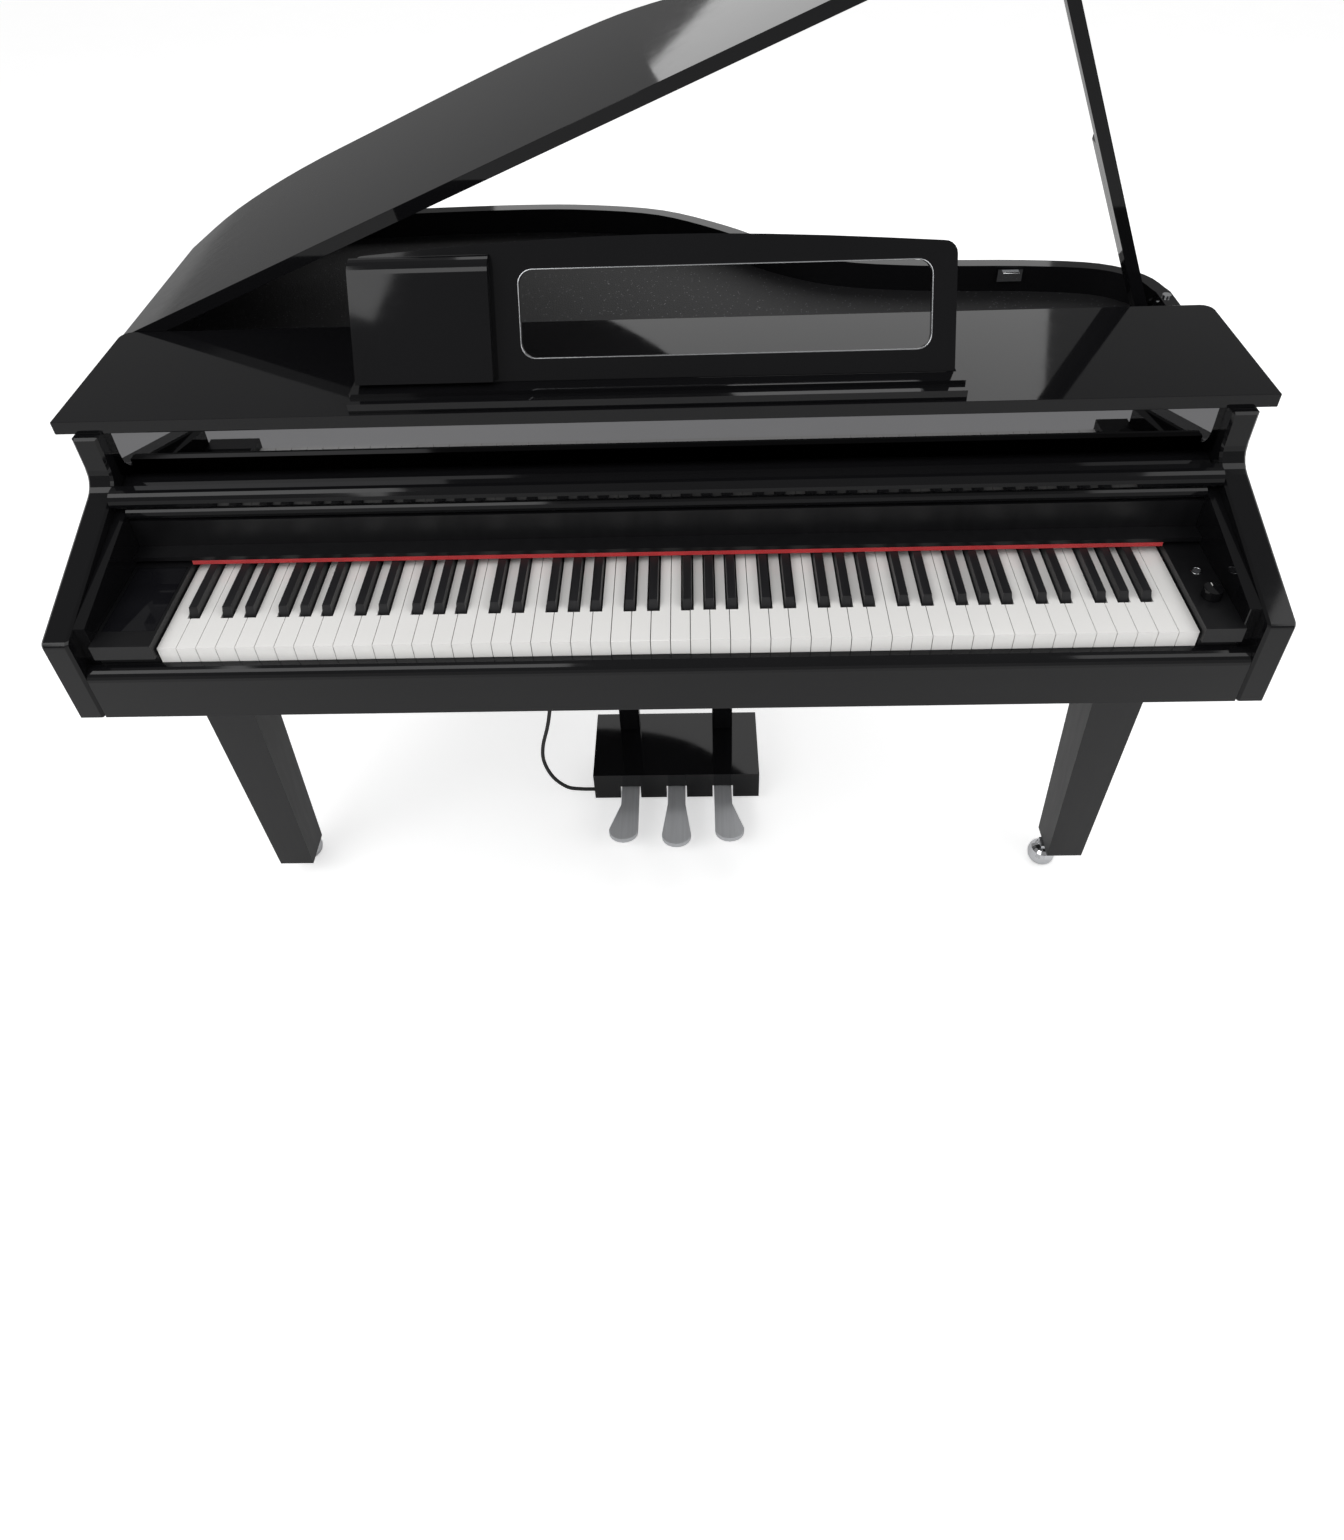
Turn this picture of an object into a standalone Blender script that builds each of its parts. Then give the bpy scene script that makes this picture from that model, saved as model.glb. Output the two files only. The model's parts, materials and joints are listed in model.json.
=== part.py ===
"""Digital baby grand piano, modelled piece by piece at its real size in metres.

X runs to the player's right, Y away from the player and Z up from the floor.
The source measures Y from the front edge of the white keys; the root empty then
moves the whole piano so that its middle stands over the origin.
"""

import math

import bmesh
import bpy
from mathutils import Matrix, Vector

GAP = 0.0003  # air left between two pieces that touch

# Heights above the floor
KEY_TOP = 0.735
CASE_BOTTOM = 0.635
RIM_TOP = 0.910
BOARD_THICKNESS = 0.018
FLOOR_BOARD = 0.018

# Case, seen from above
CASE_HALF = 0.718
SIDE_THICKNESS = 0.032
RIM_THICKNESS = 0.020
ARM_FRONT = -0.021
SIDE_BACK = 0.440
TAIL_BACK = 0.860
LID_OVERHANG = 0.024
TAIL_CORNER = 0.155
WAIST_X = 0.270
WAIST_Y = 0.636
HIP_Y = 0.603

# Arms in side view
ARM_TOP = 0.765
ARM_SLOPE_BACK = 0.168
ARM_SLOPE_TOP = 0.834
ARM_NECK = 0.187
ARM_NOSE_RADIUS = 0.007
ARM_BEND_RADIUS = 0.030

# Fixed front board and its rear corners
BOARD_FRONT = 0.198
BOARD_BACK = 0.420
BOARD_CORNER = 0.015

# Main lid
LID_GAP = 0.0015
LID_ANGLE = math.radians(23.0)
HINGE_RADIUS = 0.0027
HINGE_LEAF = 0.0008
HINGE_LEAF_HEIGHT = 0.018
HINGE_BELOW_LID = 0.0032

# Keyboard
WHITE_COUNT = 52
WHITE_PITCH = 0.0235
KEYBOARD_OFFSET = 0.014
KEY_GAP = 0.0009
WHITE_HEIGHT = 0.023
BLACK_FRONT = 0.051
BLACK_NOSE = 0.007
BLACK_RISE = 0.0115
BLACK_DEPTH = 0.0105
BLACK_HALF_BASE = 0.0069
BLACK_HALF_TOP = 0.0050
BLACK_GAP = 0.0008
SINGLE_TAIL = 0.218
BANK_TAIL = 0.220
BANK_RAIL = 0.010
RAIL_SPLIT = 0.002
KEY_PIVOT_Y = 0.224
KEY_PIVOT_DROP = 0.0115
# How far each black key stands off the gap between its two white keys
BLACK_SHIFT = {"A": 0.0034, "C": -0.0025, "D": 0.0025, "F": -0.0034, "G": 0.0}
# Middle C is the 24th white key; the keys from it upward are separate
FIRST_SINGLE = 23
SINGLE_WHITES = 4
NOTES = "ABCDEFG"

# Key surround
KEYSLIP_DEPTH = 0.018
KEYSLIP_RADIUS = 0.015
TRACK_THICKNESS = 0.014
TRACK_TOP = 0.034
TRACK_SLOPE = math.radians(15.5)
TRACK_BACK = 0.400
BLOCK_RISE = 0.012
BLOCK_LIP = 0.008
BLOCK_LIP_HEIGHT = 0.0215
BLOCK_BACK = 0.158
BLOCK_KEY_GAP = 0.0015
PANEL_THICKNESS = 0.002
PANEL_FRONT = 0.018
PANEL_BACK = 0.132
PANEL_EDGE = 0.004
BUTTON_X = 0.650
BUTTON_Y = 0.090
BUTTON_RADIUS = 0.0045
BUTTON_HEIGHT = 0.0035
BUTTON_DEPTH = 0.006
KNOB_X = 0.651
KNOB_Y = 0.046
KNOB_RADIUS = 0.0115
KNOB_HEIGHT = 0.013
KNOB_SHAFT = 0.003
KNOB_SHAFT_DEPTH = 0.008
FELT_FRONT = 0.1365
FELT_DEPTH = 0.008
LEDGE_BOTTOM = 0.0185
LEDGE_TOP = 0.0245
LEDGE_FRONT = 0.137
FALL_FACE = 0.160
FALL_THICKNESS = 0.010
FALL_TOP = 0.0655
NAMEBOARD_FRONT = 0.205
NAMEBOARD_THICKNESS = 0.008
NAMEBOARD_BOTTOM = 0.108

# Sliding key cover
COVER_FRONT = 0.158
COVER_BOTTOM = 0.0665
COVER_TOP = 0.110
COVER_BOARD = 0.007
COVER_BACK = 0.392
COVER_NOSE_DEPTH = 0.018
COVER_SIDE_GAP = 0.0015

# Key chassis inside the case
CHASSIS_FRONT = 0.006
CHASSIS_BACK = 0.236
CHASSIS_BASE = 0.006
CHASSIS_GUIDE = 0.040
CHASSIS_REST = 0.0006

# Music ledge and desk on the front board
DESK_HALF = 0.365
DESK_HEIGHT = 0.158
DESK_ARCH = 0.016
DESK_THICKNESS = 0.012
DESK_LEAN = math.radians(27.0)
DESK_PIVOT_Y = 0.246
DESK_PIVOT_UP = 0.0105
DESK_CORNER = 0.016
WINDOW_LEFT = -0.163
WINDOW_RIGHT = 0.336
WINDOW_BOTTOM = 0.030
WINDOW_TOP = 0.137
WINDOW_CORNER = 0.018
POD_RIGHT = -0.196
POD_DEPTH = 0.020
LEDGE_HALF = 0.373
LEDGE_STEP_FRONT = 0.218
LEDGE_RAIL_FRONT = 0.203
LEDGE_RAIL_BACK = 0.238
LEDGE_RAIL_HEIGHT = 0.012
LEDGE_STEP_HEIGHT = 0.005
STAY_X = -0.262
STAY_PIVOT_UP = 0.075
STAY_LENGTH = 0.083
STAY_HALF = 0.060
STAY_RADIUS = 0.002
STAY_OFF_DESK = 0.0030
STAY_EAR = 0.004
STAY_EAR_OUT = 0.003
STAY_EAR_WALL = 0.0015
DESK_PIN = 0.003
EAR_WALL = 0.006
POD_FOOT = 0.004

# Lid prop and fittings on the rim
PROP_X = 0.680
PROP_Y = 0.478
PROP_UP = 0.013
PROP_THICKNESS = 0.016
PROP_DEPTH = 0.016
SHORT_PROP_LENGTH = 0.300
PROP_PIN = 0.003
PROP_PIN_GAP = 0.0003
PAD_THICKNESS = 0.004
PAD_SIZE = 0.030
CATCH_X = 0.517
CATCH_WIDTH = 0.036
CATCH_HEIGHT = 0.019
BUMPER_Y = 0.479
BUMPER_RADIUS = 0.006
SOUND_TOP = 0.869
SOUND_THICKNESS = 0.010
SOUND_FRONT = 0.400

# Legs and casters
LEG_X = 0.645
LEG_Y = 0.190
REAR_LEG_X = -0.280
REAR_LEG_Y = 0.740
LEG_BOTTOM = 0.046
LEG_HALF_BOTTOM = 0.028
LEG_HALF_TOP = 0.0397
CASTER_TRAIL = 0.026
WHEEL_RADIUS = 0.017
WHEEL_HALF = 0.007
HOOD_RADIUS = 0.022
HOOD_WALL = 0.0024
HOOD_SKIRT = 0.007
STEM_RADIUS = 0.005
STEM_LENGTH = 0.022
AXLE_RADIUS = 0.002

# Pedal lyre
BOX_HALF = 0.146
BOX_FRONT = 0.300
BOX_BACK = 0.440
BOX_BOTTOM = 0.030
BOX_TOP = 0.093
BOX_WALL = 0.012
POST_X = 0.084
POST_Y = 0.414
POST_HALF = 0.018
POST_HALF_DEPTH = 0.013
PEDAL_PITCH = 0.082
PEDAL_TIP = 0.199
PEDAL_TIP_MIDDLE = 0.189
PEDAL_ROOT_HALF = 0.0155
PEDAL_TIP_HALF = 0.025
PEDAL_THICKNESS = 0.010
PEDAL_BOTTOM = 0.041
PEDAL_SLOT_HALF = 0.018
PEDAL_SLOT_TOP = 0.062
PEDAL_AXLE_Y = 0.400
PEDAL_AXLE = 0.004
PEDAL_BOSS = 0.009
CABLE_RADIUS = 0.0032

# Speakers and electronics
SPEAKER_RADIUS = 0.065
SPEAKER_FLANGE = 0.074
SPEAKER_X = 0.380
SPEAKER_Y = 0.450
MAIN_BOARD_X = -0.100
MAIN_BOARD_Y = 0.620

CASE_TOP_INSIDE = CASE_BOTTOM + FLOOR_BOARD
KEY_LEFT = KEYBOARD_OFFSET - WHITE_COUNT * WHITE_PITCH / 2
KEY_RIGHT = KEY_LEFT + WHITE_COUNT * WHITE_PITCH
SIDE_INNER = CASE_HALF - SIDE_THICKNESS
TRACK_INNER = SIDE_INNER - GAP - TRACK_THICKNESS
BLOCK_TOP = KEY_TOP + BLOCK_RISE
BOARD_TOP = RIM_TOP + GAP + BOARD_THICKNESS
HINGE_X = -(CASE_HALF + HINGE_LEAF + HINGE_RADIUS)
HINGE_Z = RIM_TOP + GAP - HINGE_BELOW_LID
PROP_Z = SOUND_TOP + PROP_UP
CENTRE_Y = (ARM_FRONT + TAIL_BACK + LID_OVERHANG) / 2
# The raised lid's left edge tips out past the front board and moves the middle to the left
BOARD_HALF = CASE_HALF + LID_OVERHANG
LID_LEFT = (
    HINGE_X
    - (BOARD_HALF + HINGE_X) * math.cos(LID_ANGLE)
    - (HINGE_BELOW_LID + BOARD_THICKNESS) * math.sin(LID_ANGLE)
)
CENTRE_X = (LID_LEFT + BOARD_HALF) / 2

# Axis changes for outlines that are drawn flat and then stood up
PLAN = Matrix.Identity(4)
SIDE = Matrix(((0, 0, 1, 0), (1, 0, 0, 0), (0, 1, 0, 0), (0, 0, 0, 1)))
FRONT = Matrix(((1, 0, 0, 0), (0, 0, -1, 0), (0, 1, 0, 0), (0, 0, 0, 1)))


def start_scene():
    """Empties the scene and returns the collections and the root empty."""
    for obj in list(bpy.data.objects):
        bpy.data.objects.remove(obj, do_unlink=True)
    scene = bpy.context.scene
    parts = bpy.data.collections.new("digital_baby_grand_piano")
    cutters = bpy.data.collections.new("cutters")
    scene.collection.children.link(parts)
    scene.collection.children.link(cutters)
    root = bpy.data.objects.new("piano_middle", None)
    root.location = (-CENTRE_X, -CENTRE_Y, 0)
    parts.objects.link(root)
    return parts, cutters, root


PARTS, CUTTERS, ROOT = start_scene()


def finish(name, colour, roughness, metallic=0.0):
    """A Principled material with one plain colour."""
    material = bpy.data.materials.new(name)
    material.use_nodes = True
    shader = material.node_tree.nodes["Principled BSDF"]
    shader.inputs["Base Color"].default_value = (*colour, 1.0)
    shader.inputs["Roughness"].default_value = roughness
    shader.inputs["Metallic"].default_value = metallic
    material.diffuse_color = (*colour, 1.0)
    return material


GLOSS_BLACK = finish("gloss_black_lacquer", (0.010, 0.010, 0.012), 0.08)
SATIN_BLACK = finish("satin_black_lacquer", (0.020, 0.020, 0.023), 0.40)
TEXTURED_BLACK = finish("textured_black_board", (0.014, 0.014, 0.015), 0.75)
IVORY = finish("white_key_plastic", (0.86, 0.85, 0.82), 0.25)
EBONY = finish("black_key_plastic", (0.016, 0.016, 0.018), 0.45)
RED_FELT = finish("red_felt", (0.72, 0.01, 0.02), 0.95)
CHROME = finish("chrome", (0.75, 0.76, 0.78), 0.12, 1.0)
SATIN_METAL = finish("satin_pedal_metal", (0.30, 0.33, 0.37), 0.32, 1.0)
RUBBER = finish("black_rubber", (0.02, 0.02, 0.02), 0.80)
GLASS = finish("dark_glass", (0.015, 0.016, 0.018), 0.04)
PLASTIC = finish("grey_plastic", (0.10, 0.10, 0.11), 0.55)
CIRCUIT = finish("circuit_board", (0.01, 0.12, 0.05), 0.50)


def add(name, mesh, material, origin=(0, 0, 0), rotation=(0, 0, 0), collection=PARTS, local=False):
    """An object whose mesh is given in piano coordinates, or about its own origin where local is set."""
    if not local:
        mesh.transform(Matrix.Translation(-Vector(origin)))
    mesh.name = name
    obj = bpy.data.objects.new(name, mesh)
    obj.location = origin
    obj.rotation_euler = rotation
    obj.parent = ROOT
    if material:
        mesh.materials.append(material)
    collection.objects.link(obj)
    return obj


def helper(name, mesh, origin=(0, 0, 0), rotation=(0, 0, 0), local=False):
    """A hidden solid that a Boolean reads."""
    obj = add(name, mesh, None, origin, rotation, CUTTERS, local)
    obj.hide_render = True
    obj.display_type = "WIRE"
    return obj


def combine(obj, other, operation):
    """Adds a Boolean with one hidden solid."""
    modifier = obj.modifiers.new(f"{operation.lower()} {other.name}", "BOOLEAN")
    modifier.operation = operation
    modifier.solver = "EXACT"
    modifier.object = other


def cut(obj, other):
    combine(obj, other, "DIFFERENCE")


def join(obj, other):
    combine(obj, other, "UNION")


def soften(obj, width, segments=2, angle=50.0):
    """Rounds the edges that are sharper than an angle."""
    modifier = obj.modifiers.new("rounded edges", "BEVEL")
    modifier.width = width
    modifier.segments = segments
    modifier.limit_method = "ANGLE"
    modifier.angle_limit = math.radians(angle)


def mesh_of(bm):
    """A mesh from a bmesh, with its normals out."""
    bmesh.ops.recalc_face_normals(bm, faces=bm.faces)
    mesh = bpy.data.meshes.new("solid")
    bm.to_mesh(mesh)
    bm.free()
    return mesh


def box(x0, x1, y0, y1, z0, z1):
    """A box between six planes."""
    bm = bmesh.new()
    bmesh.ops.create_cube(bm, size=1.0)
    size = Matrix.Diagonal((x1 - x0, y1 - y0, z1 - z0, 1.0))
    middle = Matrix.Translation(((x0 + x1) / 2, (y0 + y1) / 2, (z0 + z1) / 2))
    bmesh.ops.transform(bm, matrix=middle @ size, verts=bm.verts)
    return mesh_of(bm)


def rod(radius, start, end, segments=20, end_radius=None):
    """A round bar, or a cone, from one point to another."""
    start, end = Vector(start), Vector(end)
    bm = bmesh.new()
    bmesh.ops.create_cone(
        bm,
        cap_ends=True,
        segments=segments,
        radius1=radius,
        radius2=radius if end_radius is None else end_radius,
        depth=(end - start).length,
    )
    turn = Vector((0, 0, 1)).rotation_difference(end - start).to_matrix().to_4x4()
    bmesh.ops.transform(bm, matrix=Matrix.Translation((start + end) / 2) @ turn, verts=bm.verts)
    return mesh_of(bm)


def ball(radius, centre, segments=16, rings=10):
    """A sphere."""
    bm = bmesh.new()
    bmesh.ops.create_uvsphere(bm, u_segments=segments, v_segments=rings, radius=radius)
    bmesh.ops.translate(bm, vec=Vector(centre), verts=bm.verts)
    return mesh_of(bm)


def outline_solid(outlines, low, high, axes=PLAN):
    """A flat outline, with any holes, given thickness between two heights across its plane."""
    curve = bpy.data.curves.new("outline", "CURVE")
    curve.dimensions = "2D"
    curve.fill_mode = "BOTH"
    curve.extrude = (high - low) / 2
    for points in outlines:
        spline = curve.splines.new("POLY")
        spline.points.add(len(points) - 1)
        for point, (x, y) in zip(spline.points, points):
            point.co = (x, y, 0, 1)
        spline.use_cyclic_u = True
    drawn = bpy.data.objects.new("outline", curve)
    CUTTERS.objects.link(drawn)
    graph = bpy.context.evaluated_depsgraph_get()
    mesh = bpy.data.meshes.new_from_object(drawn.evaluated_get(graph))
    bpy.data.objects.remove(drawn)
    bpy.data.curves.remove(curve)
    bm = bmesh.new()
    bm.from_mesh(mesh)
    bpy.data.meshes.remove(mesh)
    bmesh.ops.remove_doubles(bm, verts=bm.verts, dist=0.00001)
    bmesh.ops.translate(bm, vec=(0, 0, (low + high) / 2), verts=bm.verts)
    bmesh.ops.transform(bm, matrix=axes, verts=bm.verts)
    return mesh_of(bm)


def merged(meshes):
    """Several separate solids in one mesh."""
    bm = bmesh.new()
    for mesh in meshes:
        bm.from_mesh(mesh)
        bpy.data.meshes.remove(mesh)
    return mesh_of(bm)


def arc(cx, cy, radius, start, end, steps=5):
    """Points of an arc, its angles in degrees."""
    angles = [math.radians(start + (end - start) * i / steps) for i in range(steps + 1)]
    return [(cx + radius * math.cos(a), cy + radius * math.sin(a)) for a in angles]


def rounded_rectangle(x0, x1, y0, y1, radius, steps=4):
    """The outline of a rectangle with round corners."""
    return (
        arc(x1 - radius, y1 - radius, radius, 0, 90, steps)
        + arc(x0 + radius, y1 - radius, radius, 90, 180, steps)
        + arc(x0 + radius, y0 + radius, radius, 180, 270, steps)
        + arc(x1 - radius, y0 + radius, radius, 270, 360, steps)
    )


def smooth(points, steps=5):
    """A Catmull-Rom curve through the points, ends included."""
    spots = [Vector(p) for p in points]
    spots = [2 * spots[0] - spots[1]] + spots + [2 * spots[-1] - spots[-2]]
    path = []
    for a, b, c, d in zip(spots, spots[1:], spots[2:], spots[3:]):
        for i in range(steps):
            t = i / steps
            bend = (2 * a - 5 * b + 4 * c - d) * t**2
            twist = (3 * b - a - 3 * c + d) * t**3
            path.append(0.5 * (2 * b + (c - a) * t + bend + twist))
    path.append(spots[-2])
    return path


def rim_path(outward=0.0):
    """The outer line of the case from its left side round the tail to its right side, moved outward."""
    middle = smooth(
        [
            (-CASE_HALF, TAIL_BACK - TAIL_CORNER),
            (-CASE_HALF + 0.043, TAIL_BACK - 0.062),
            (-CASE_HALF + 0.140, TAIL_BACK - 0.012),
            (-0.420, TAIL_BACK - 0.003),
            (-0.240, TAIL_BACK),
            (-0.120, TAIL_BACK - 0.009),
            (0.000, TAIL_BACK - 0.039),
            (0.100, TAIL_BACK - 0.104),
            (0.180, TAIL_BACK - 0.174),
            (WAIST_X, WAIST_Y),
            (0.390, HIP_Y + 0.010),
            (0.540, HIP_Y),
            (CASE_HALF - 0.072, HIP_Y - 0.018),
            (CASE_HALF - 0.018, HIP_Y - 0.058),
            (CASE_HALF, HIP_Y - 0.110),
        ],
        steps=4,
    )
    path = [Vector((-CASE_HALF, SIDE_BACK + GAP))] + middle + [Vector((CASE_HALF, SIDE_BACK + GAP))]
    moved = []
    for i, point in enumerate(path):
        before, after = path[max(i - 1, 0)], path[min(i + 1, len(path) - 1)]
        along = (after - before).normalized()
        moved.append((point.x - along.y * outward, point.y + along.x * outward))
    return moved


def add_case():
    """The two side panels with their arms, the bent rim and the boards inside them."""
    profile = (
        [(SIDE_BACK, CASE_BOTTOM), (SIDE_BACK, RIM_TOP), (ARM_NECK, RIM_TOP)]
        + arm_bend()
        + arc(
            ARM_FRONT + ARM_NOSE_RADIUS,
            ARM_TOP - ARM_NOSE_RADIUS,
            ARM_NOSE_RADIUS,
            110,
            180,
            4,
        )
        + [(ARM_FRONT, CASE_BOTTOM)]
    )
    for name, x0 in (("left_side_panel", -CASE_HALF), ("right_side_panel", SIDE_INNER)):
        panel = add(name, outline_solid([profile], x0, x0 + SIDE_THICKNESS, SIDE), GLOSS_BLACK)
        soften(panel, 0.003, 1)

    outer = rim_path()
    inner = rim_path(-RIM_THICKNESS)
    add("bent_rim", outline_solid([outer + inner[::-1]], CASE_BOTTOM, RIM_TOP), GLOSS_BLACK)

    within = SIDE_INNER - GAP
    inside = rim_path(-RIM_THICKNESS - GAP)
    floor = [(within, 0.0), (within, SIDE_BACK)] + inside[::-1] + [(-within, SIDE_BACK), (-within, 0.0)]
    speakers = [arc(x, SPEAKER_Y, SPEAKER_RADIUS, 0, 345, 23) for x in (-SPEAKER_X, SPEAKER_X)]
    add("bottom_board", outline_solid([floor] + speakers, CASE_BOTTOM, CASE_TOP_INSIDE), SATIN_BLACK)

    shelf = [(within, SOUND_FRONT), (within, SIDE_BACK)] + inside[::-1]
    shelf += [(-within, SIDE_BACK), (-within, SOUND_FRONT)]
    add("soundboard_cover", outline_solid([shelf], SOUND_TOP - SOUND_THICKNESS, SOUND_TOP), TEXTURED_BLACK)


def arm_bend():
    """The hollow bend where an arm's slope turns up under the front board, back to front."""
    slope = math.atan2(ARM_SLOPE_TOP - ARM_TOP, ARM_SLOPE_BACK - ARM_FRONT)
    reach = ARM_BEND_RADIUS * math.tan((math.pi / 2 - slope) / 2)
    corner_z = ARM_TOP + (ARM_NECK - ARM_FRONT) * math.tan(slope)
    centre = (ARM_NECK - ARM_BEND_RADIUS, corner_z + reach)
    return arc(*centre, ARM_BEND_RADIUS, 0, -90 + math.degrees(slope), 5)


def add_front_board():
    """The fixed front part of the lid."""
    half = CASE_HALF + LID_OVERHANG
    r = BOARD_CORNER
    outline = (
        [(-half, BOARD_FRONT), (half, BOARD_FRONT)]
        + arc(half - r, BOARD_BACK - r, r, 0, 90, 4)
        + arc(-half + r, BOARD_BACK - r, r, 90, 180, 4)
    )
    board = add("front_board", outline_solid([outline], RIM_TOP + GAP, BOARD_TOP), GLOSS_BLACK)
    soften(board, 0.003, 2)


def add_main_lid():
    """The raised lid with its hinge and the pad that the prop stands under."""
    half = CASE_HALF + LID_OVERHANG
    round_tail = [p for p in rim_path(LID_OVERHANG) if p[1] > SIDE_BACK + LID_OVERHANG]
    outline = [(-half, BOARD_BACK + LID_GAP)] + round_tail + [(half, BOARD_BACK + LID_GAP)]
    about_hinge = [(x - HINGE_X, y) for x, y in outline]
    low = HINGE_BELOW_LID
    tilt = (0, -LID_ANGLE, 0)
    lid = add(
        "main_lid",
        outline_solid([about_hinge], low, low + BOARD_THICKNESS),
        GLOSS_BLACK,
        (HINGE_X, 0, HINGE_Z),
        tilt,
        local=True,
    )
    soften(lid, 0.003, 2)

    hinge_front, hinge_back = SIDE_BACK, TAIL_BACK - TAIL_CORNER
    leaf_x = -CASE_HALF - GAP
    hinge = add(
        "lid_hinge",
        box(leaf_x - HINGE_LEAF, leaf_x, hinge_front, hinge_back, HINGE_Z - HINGE_LEAF_HEIGHT, HINGE_Z),
        CHROME,
    )
    knuckle = rod(HINGE_RADIUS, (HINGE_X, hinge_front, HINGE_Z), (HINGE_X, hinge_back, HINGE_Z), 12)
    join(hinge, helper("hinge_knuckle", knuckle))

    along, _ = prop_reach()
    half_pad = PAD_SIZE / 2
    pad = box(
        along - half_pad,
        along + half_pad,
        PROP_Y - half_pad,
        PROP_Y + half_pad,
        low - GAP - PAD_THICKNESS,
        low - GAP,
    )
    add("prop_pad", pad, RUBBER, (HINGE_X, 0, HINGE_Z), tilt, local=True)


def prop_reach():
    """Where the prop meets the lid: how far along the lid, and the prop's length from its pivot."""
    run, rise = PROP_X - HINGE_X, PROP_Z - HINGE_Z
    along = run * math.cos(LID_ANGLE) + rise * math.sin(LID_ANGLE)
    height = run * math.sin(LID_ANGLE) - rise * math.cos(LID_ANGLE)
    return along, height + HINGE_BELOW_LID - PAD_THICKNESS - 2 * GAP


def add_prop():
    """The long and the short prop stick on one pin, in a bracket on the soundboard cover."""
    _, length = prop_reach()
    half = PROP_THICKNESS / 2
    hole = arc(0, 0, PROP_PIN + PROP_PIN_GAP, 0, 337.5, 15)

    def stick(reach, slant):
        foot = arc(0, 0, half, 180, 360, 8)
        return outline_solid([foot + [(half, reach), (-half, reach - slant)], hole], 0, PROP_DEPTH, FRONT)

    lean = (0, -LID_ANGLE, 0)
    front = PROP_Y + PROP_DEPTH / 2
    add("long_prop_stick", stick(length, 0.0), GLOSS_BLACK, (PROP_X, front, PROP_Z), lean, local=True)
    behind = front + PROP_DEPTH + 2 * GAP
    nested = (PROP_X, behind, PROP_Z)
    add("short_prop_stick", stick(SHORT_PROP_LENGTH, 0.030), GLOSS_BLACK, nested, lean, local=True)

    ear = 0.004
    ear_half = 0.008
    y0 = front - PROP_DEPTH - 2 * GAP - ear
    y1 = behind + 2 * GAP + ear
    base_top = SOUND_TOP + GAP + 0.0025
    bracket = add(
        "prop_bracket",
        box(PROP_X - 0.010, PROP_X + 0.010, y0 - 0.012, y1 + 0.012, SOUND_TOP + GAP, base_top),
        CHROME,
    )
    for name, at in (("prop_ear_front", y0), ("prop_ear_back", y1 - ear)):
        plate = box(PROP_X - ear_half, PROP_X + ear_half, at, at + ear, base_top - 0.001, PROP_Z + 0.006)
        join(bracket, helper(name, plate))
    pin = rod(PROP_PIN, (PROP_X, y0 + 0.001, PROP_Z), (PROP_X, y1 - 0.001, PROP_Z), 16)
    join(bracket, helper("prop_pin", pin))


def add_rim_fittings():
    """The chrome catch on the inner side of the rim and the lid bumper on top of it."""
    x0, x1 = CATCH_X - CATCH_WIDTH / 2, CATCH_X + CATCH_WIDTH / 2
    wall = min(rim_wall_y(x0), rim_wall_y(CATCH_X), rim_wall_y(x1)) - GAP
    top = RIM_TOP - 0.004
    catch = add("rim_catch", box(x0, x1, wall - 0.003, wall, top - CATCH_HEIGHT, top), CHROME)
    hook = box(x0 + 0.006, x1 - 0.006, wall - 0.011, wall - 0.002, top - 0.005, top - 0.002)
    join(catch, helper("catch_hook", hook))

    x = CASE_HALF - RIM_THICKNESS / 2
    bumper = rod(BUMPER_RADIUS, (x, BUMPER_Y, RIM_TOP + GAP), (x, BUMPER_Y, RIM_TOP + 0.003), 16)
    add("rim_bumper", bumper, CHROME)


def rim_wall_y(x):
    """How far back the inner side of the rim lies at one place across the case."""
    path = rim_path(-RIM_THICKNESS)
    for (x0, y0), (x1, y1) in zip(path, path[1:]):
        if x0 < x <= x1:
            wall = y0 + (y1 - y0) * (x - x0) / (x1 - x0)
    return wall


def black_after(i):
    """Whether a black key stands between white key i and the next one."""
    return NOTES[i % 7] in BLACK_SHIFT and i < WHITE_COUNT - 1


def black_centre(i):
    return KEY_LEFT + (i + 1) * WHITE_PITCH + BLACK_SHIFT[NOTES[i % 7]]


def white_outline(i, tail):
    """A white key from above, with the notches for its black neighbours."""
    x0 = KEY_LEFT + i * WHITE_PITCH + KEY_GAP / 2
    x1 = KEY_LEFT + (i + 1) * WHITE_PITCH - KEY_GAP / 2
    side = BLACK_HALF_BASE + BLACK_GAP
    notch = BLACK_FRONT - BLACK_GAP
    points = [(x0, 0.0), (x1, 0.0)]
    if black_after(i):
        edge = black_centre(i) - side
        points += [(x1, notch), (edge, notch), (edge, tail)]
    else:
        points += [(x1, tail)]
    if i > 0 and black_after(i - 1):
        edge = black_centre(i - 1) + side
        points += [(edge, tail), (edge, notch), (x0, notch)]
    else:
        points += [(x0, tail)]
    return points


def black_key(i, tail):
    """A black key with drawn-in sides and a slanted nose."""
    mesh = box(-BLACK_HALF_BASE, BLACK_HALF_BASE, BLACK_FRONT, tail, -BLACK_DEPTH, BLACK_RISE)
    for vertex in mesh.vertices:
        if vertex.co.z > 0:
            vertex.co.x *= BLACK_HALF_TOP / BLACK_HALF_BASE
            if vertex.co.y < (BLACK_FRONT + tail) / 2:
                vertex.co.y += BLACK_NOSE
    mesh.transform(Matrix.Translation((black_centre(i), 0, KEY_TOP)))
    return mesh


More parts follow.
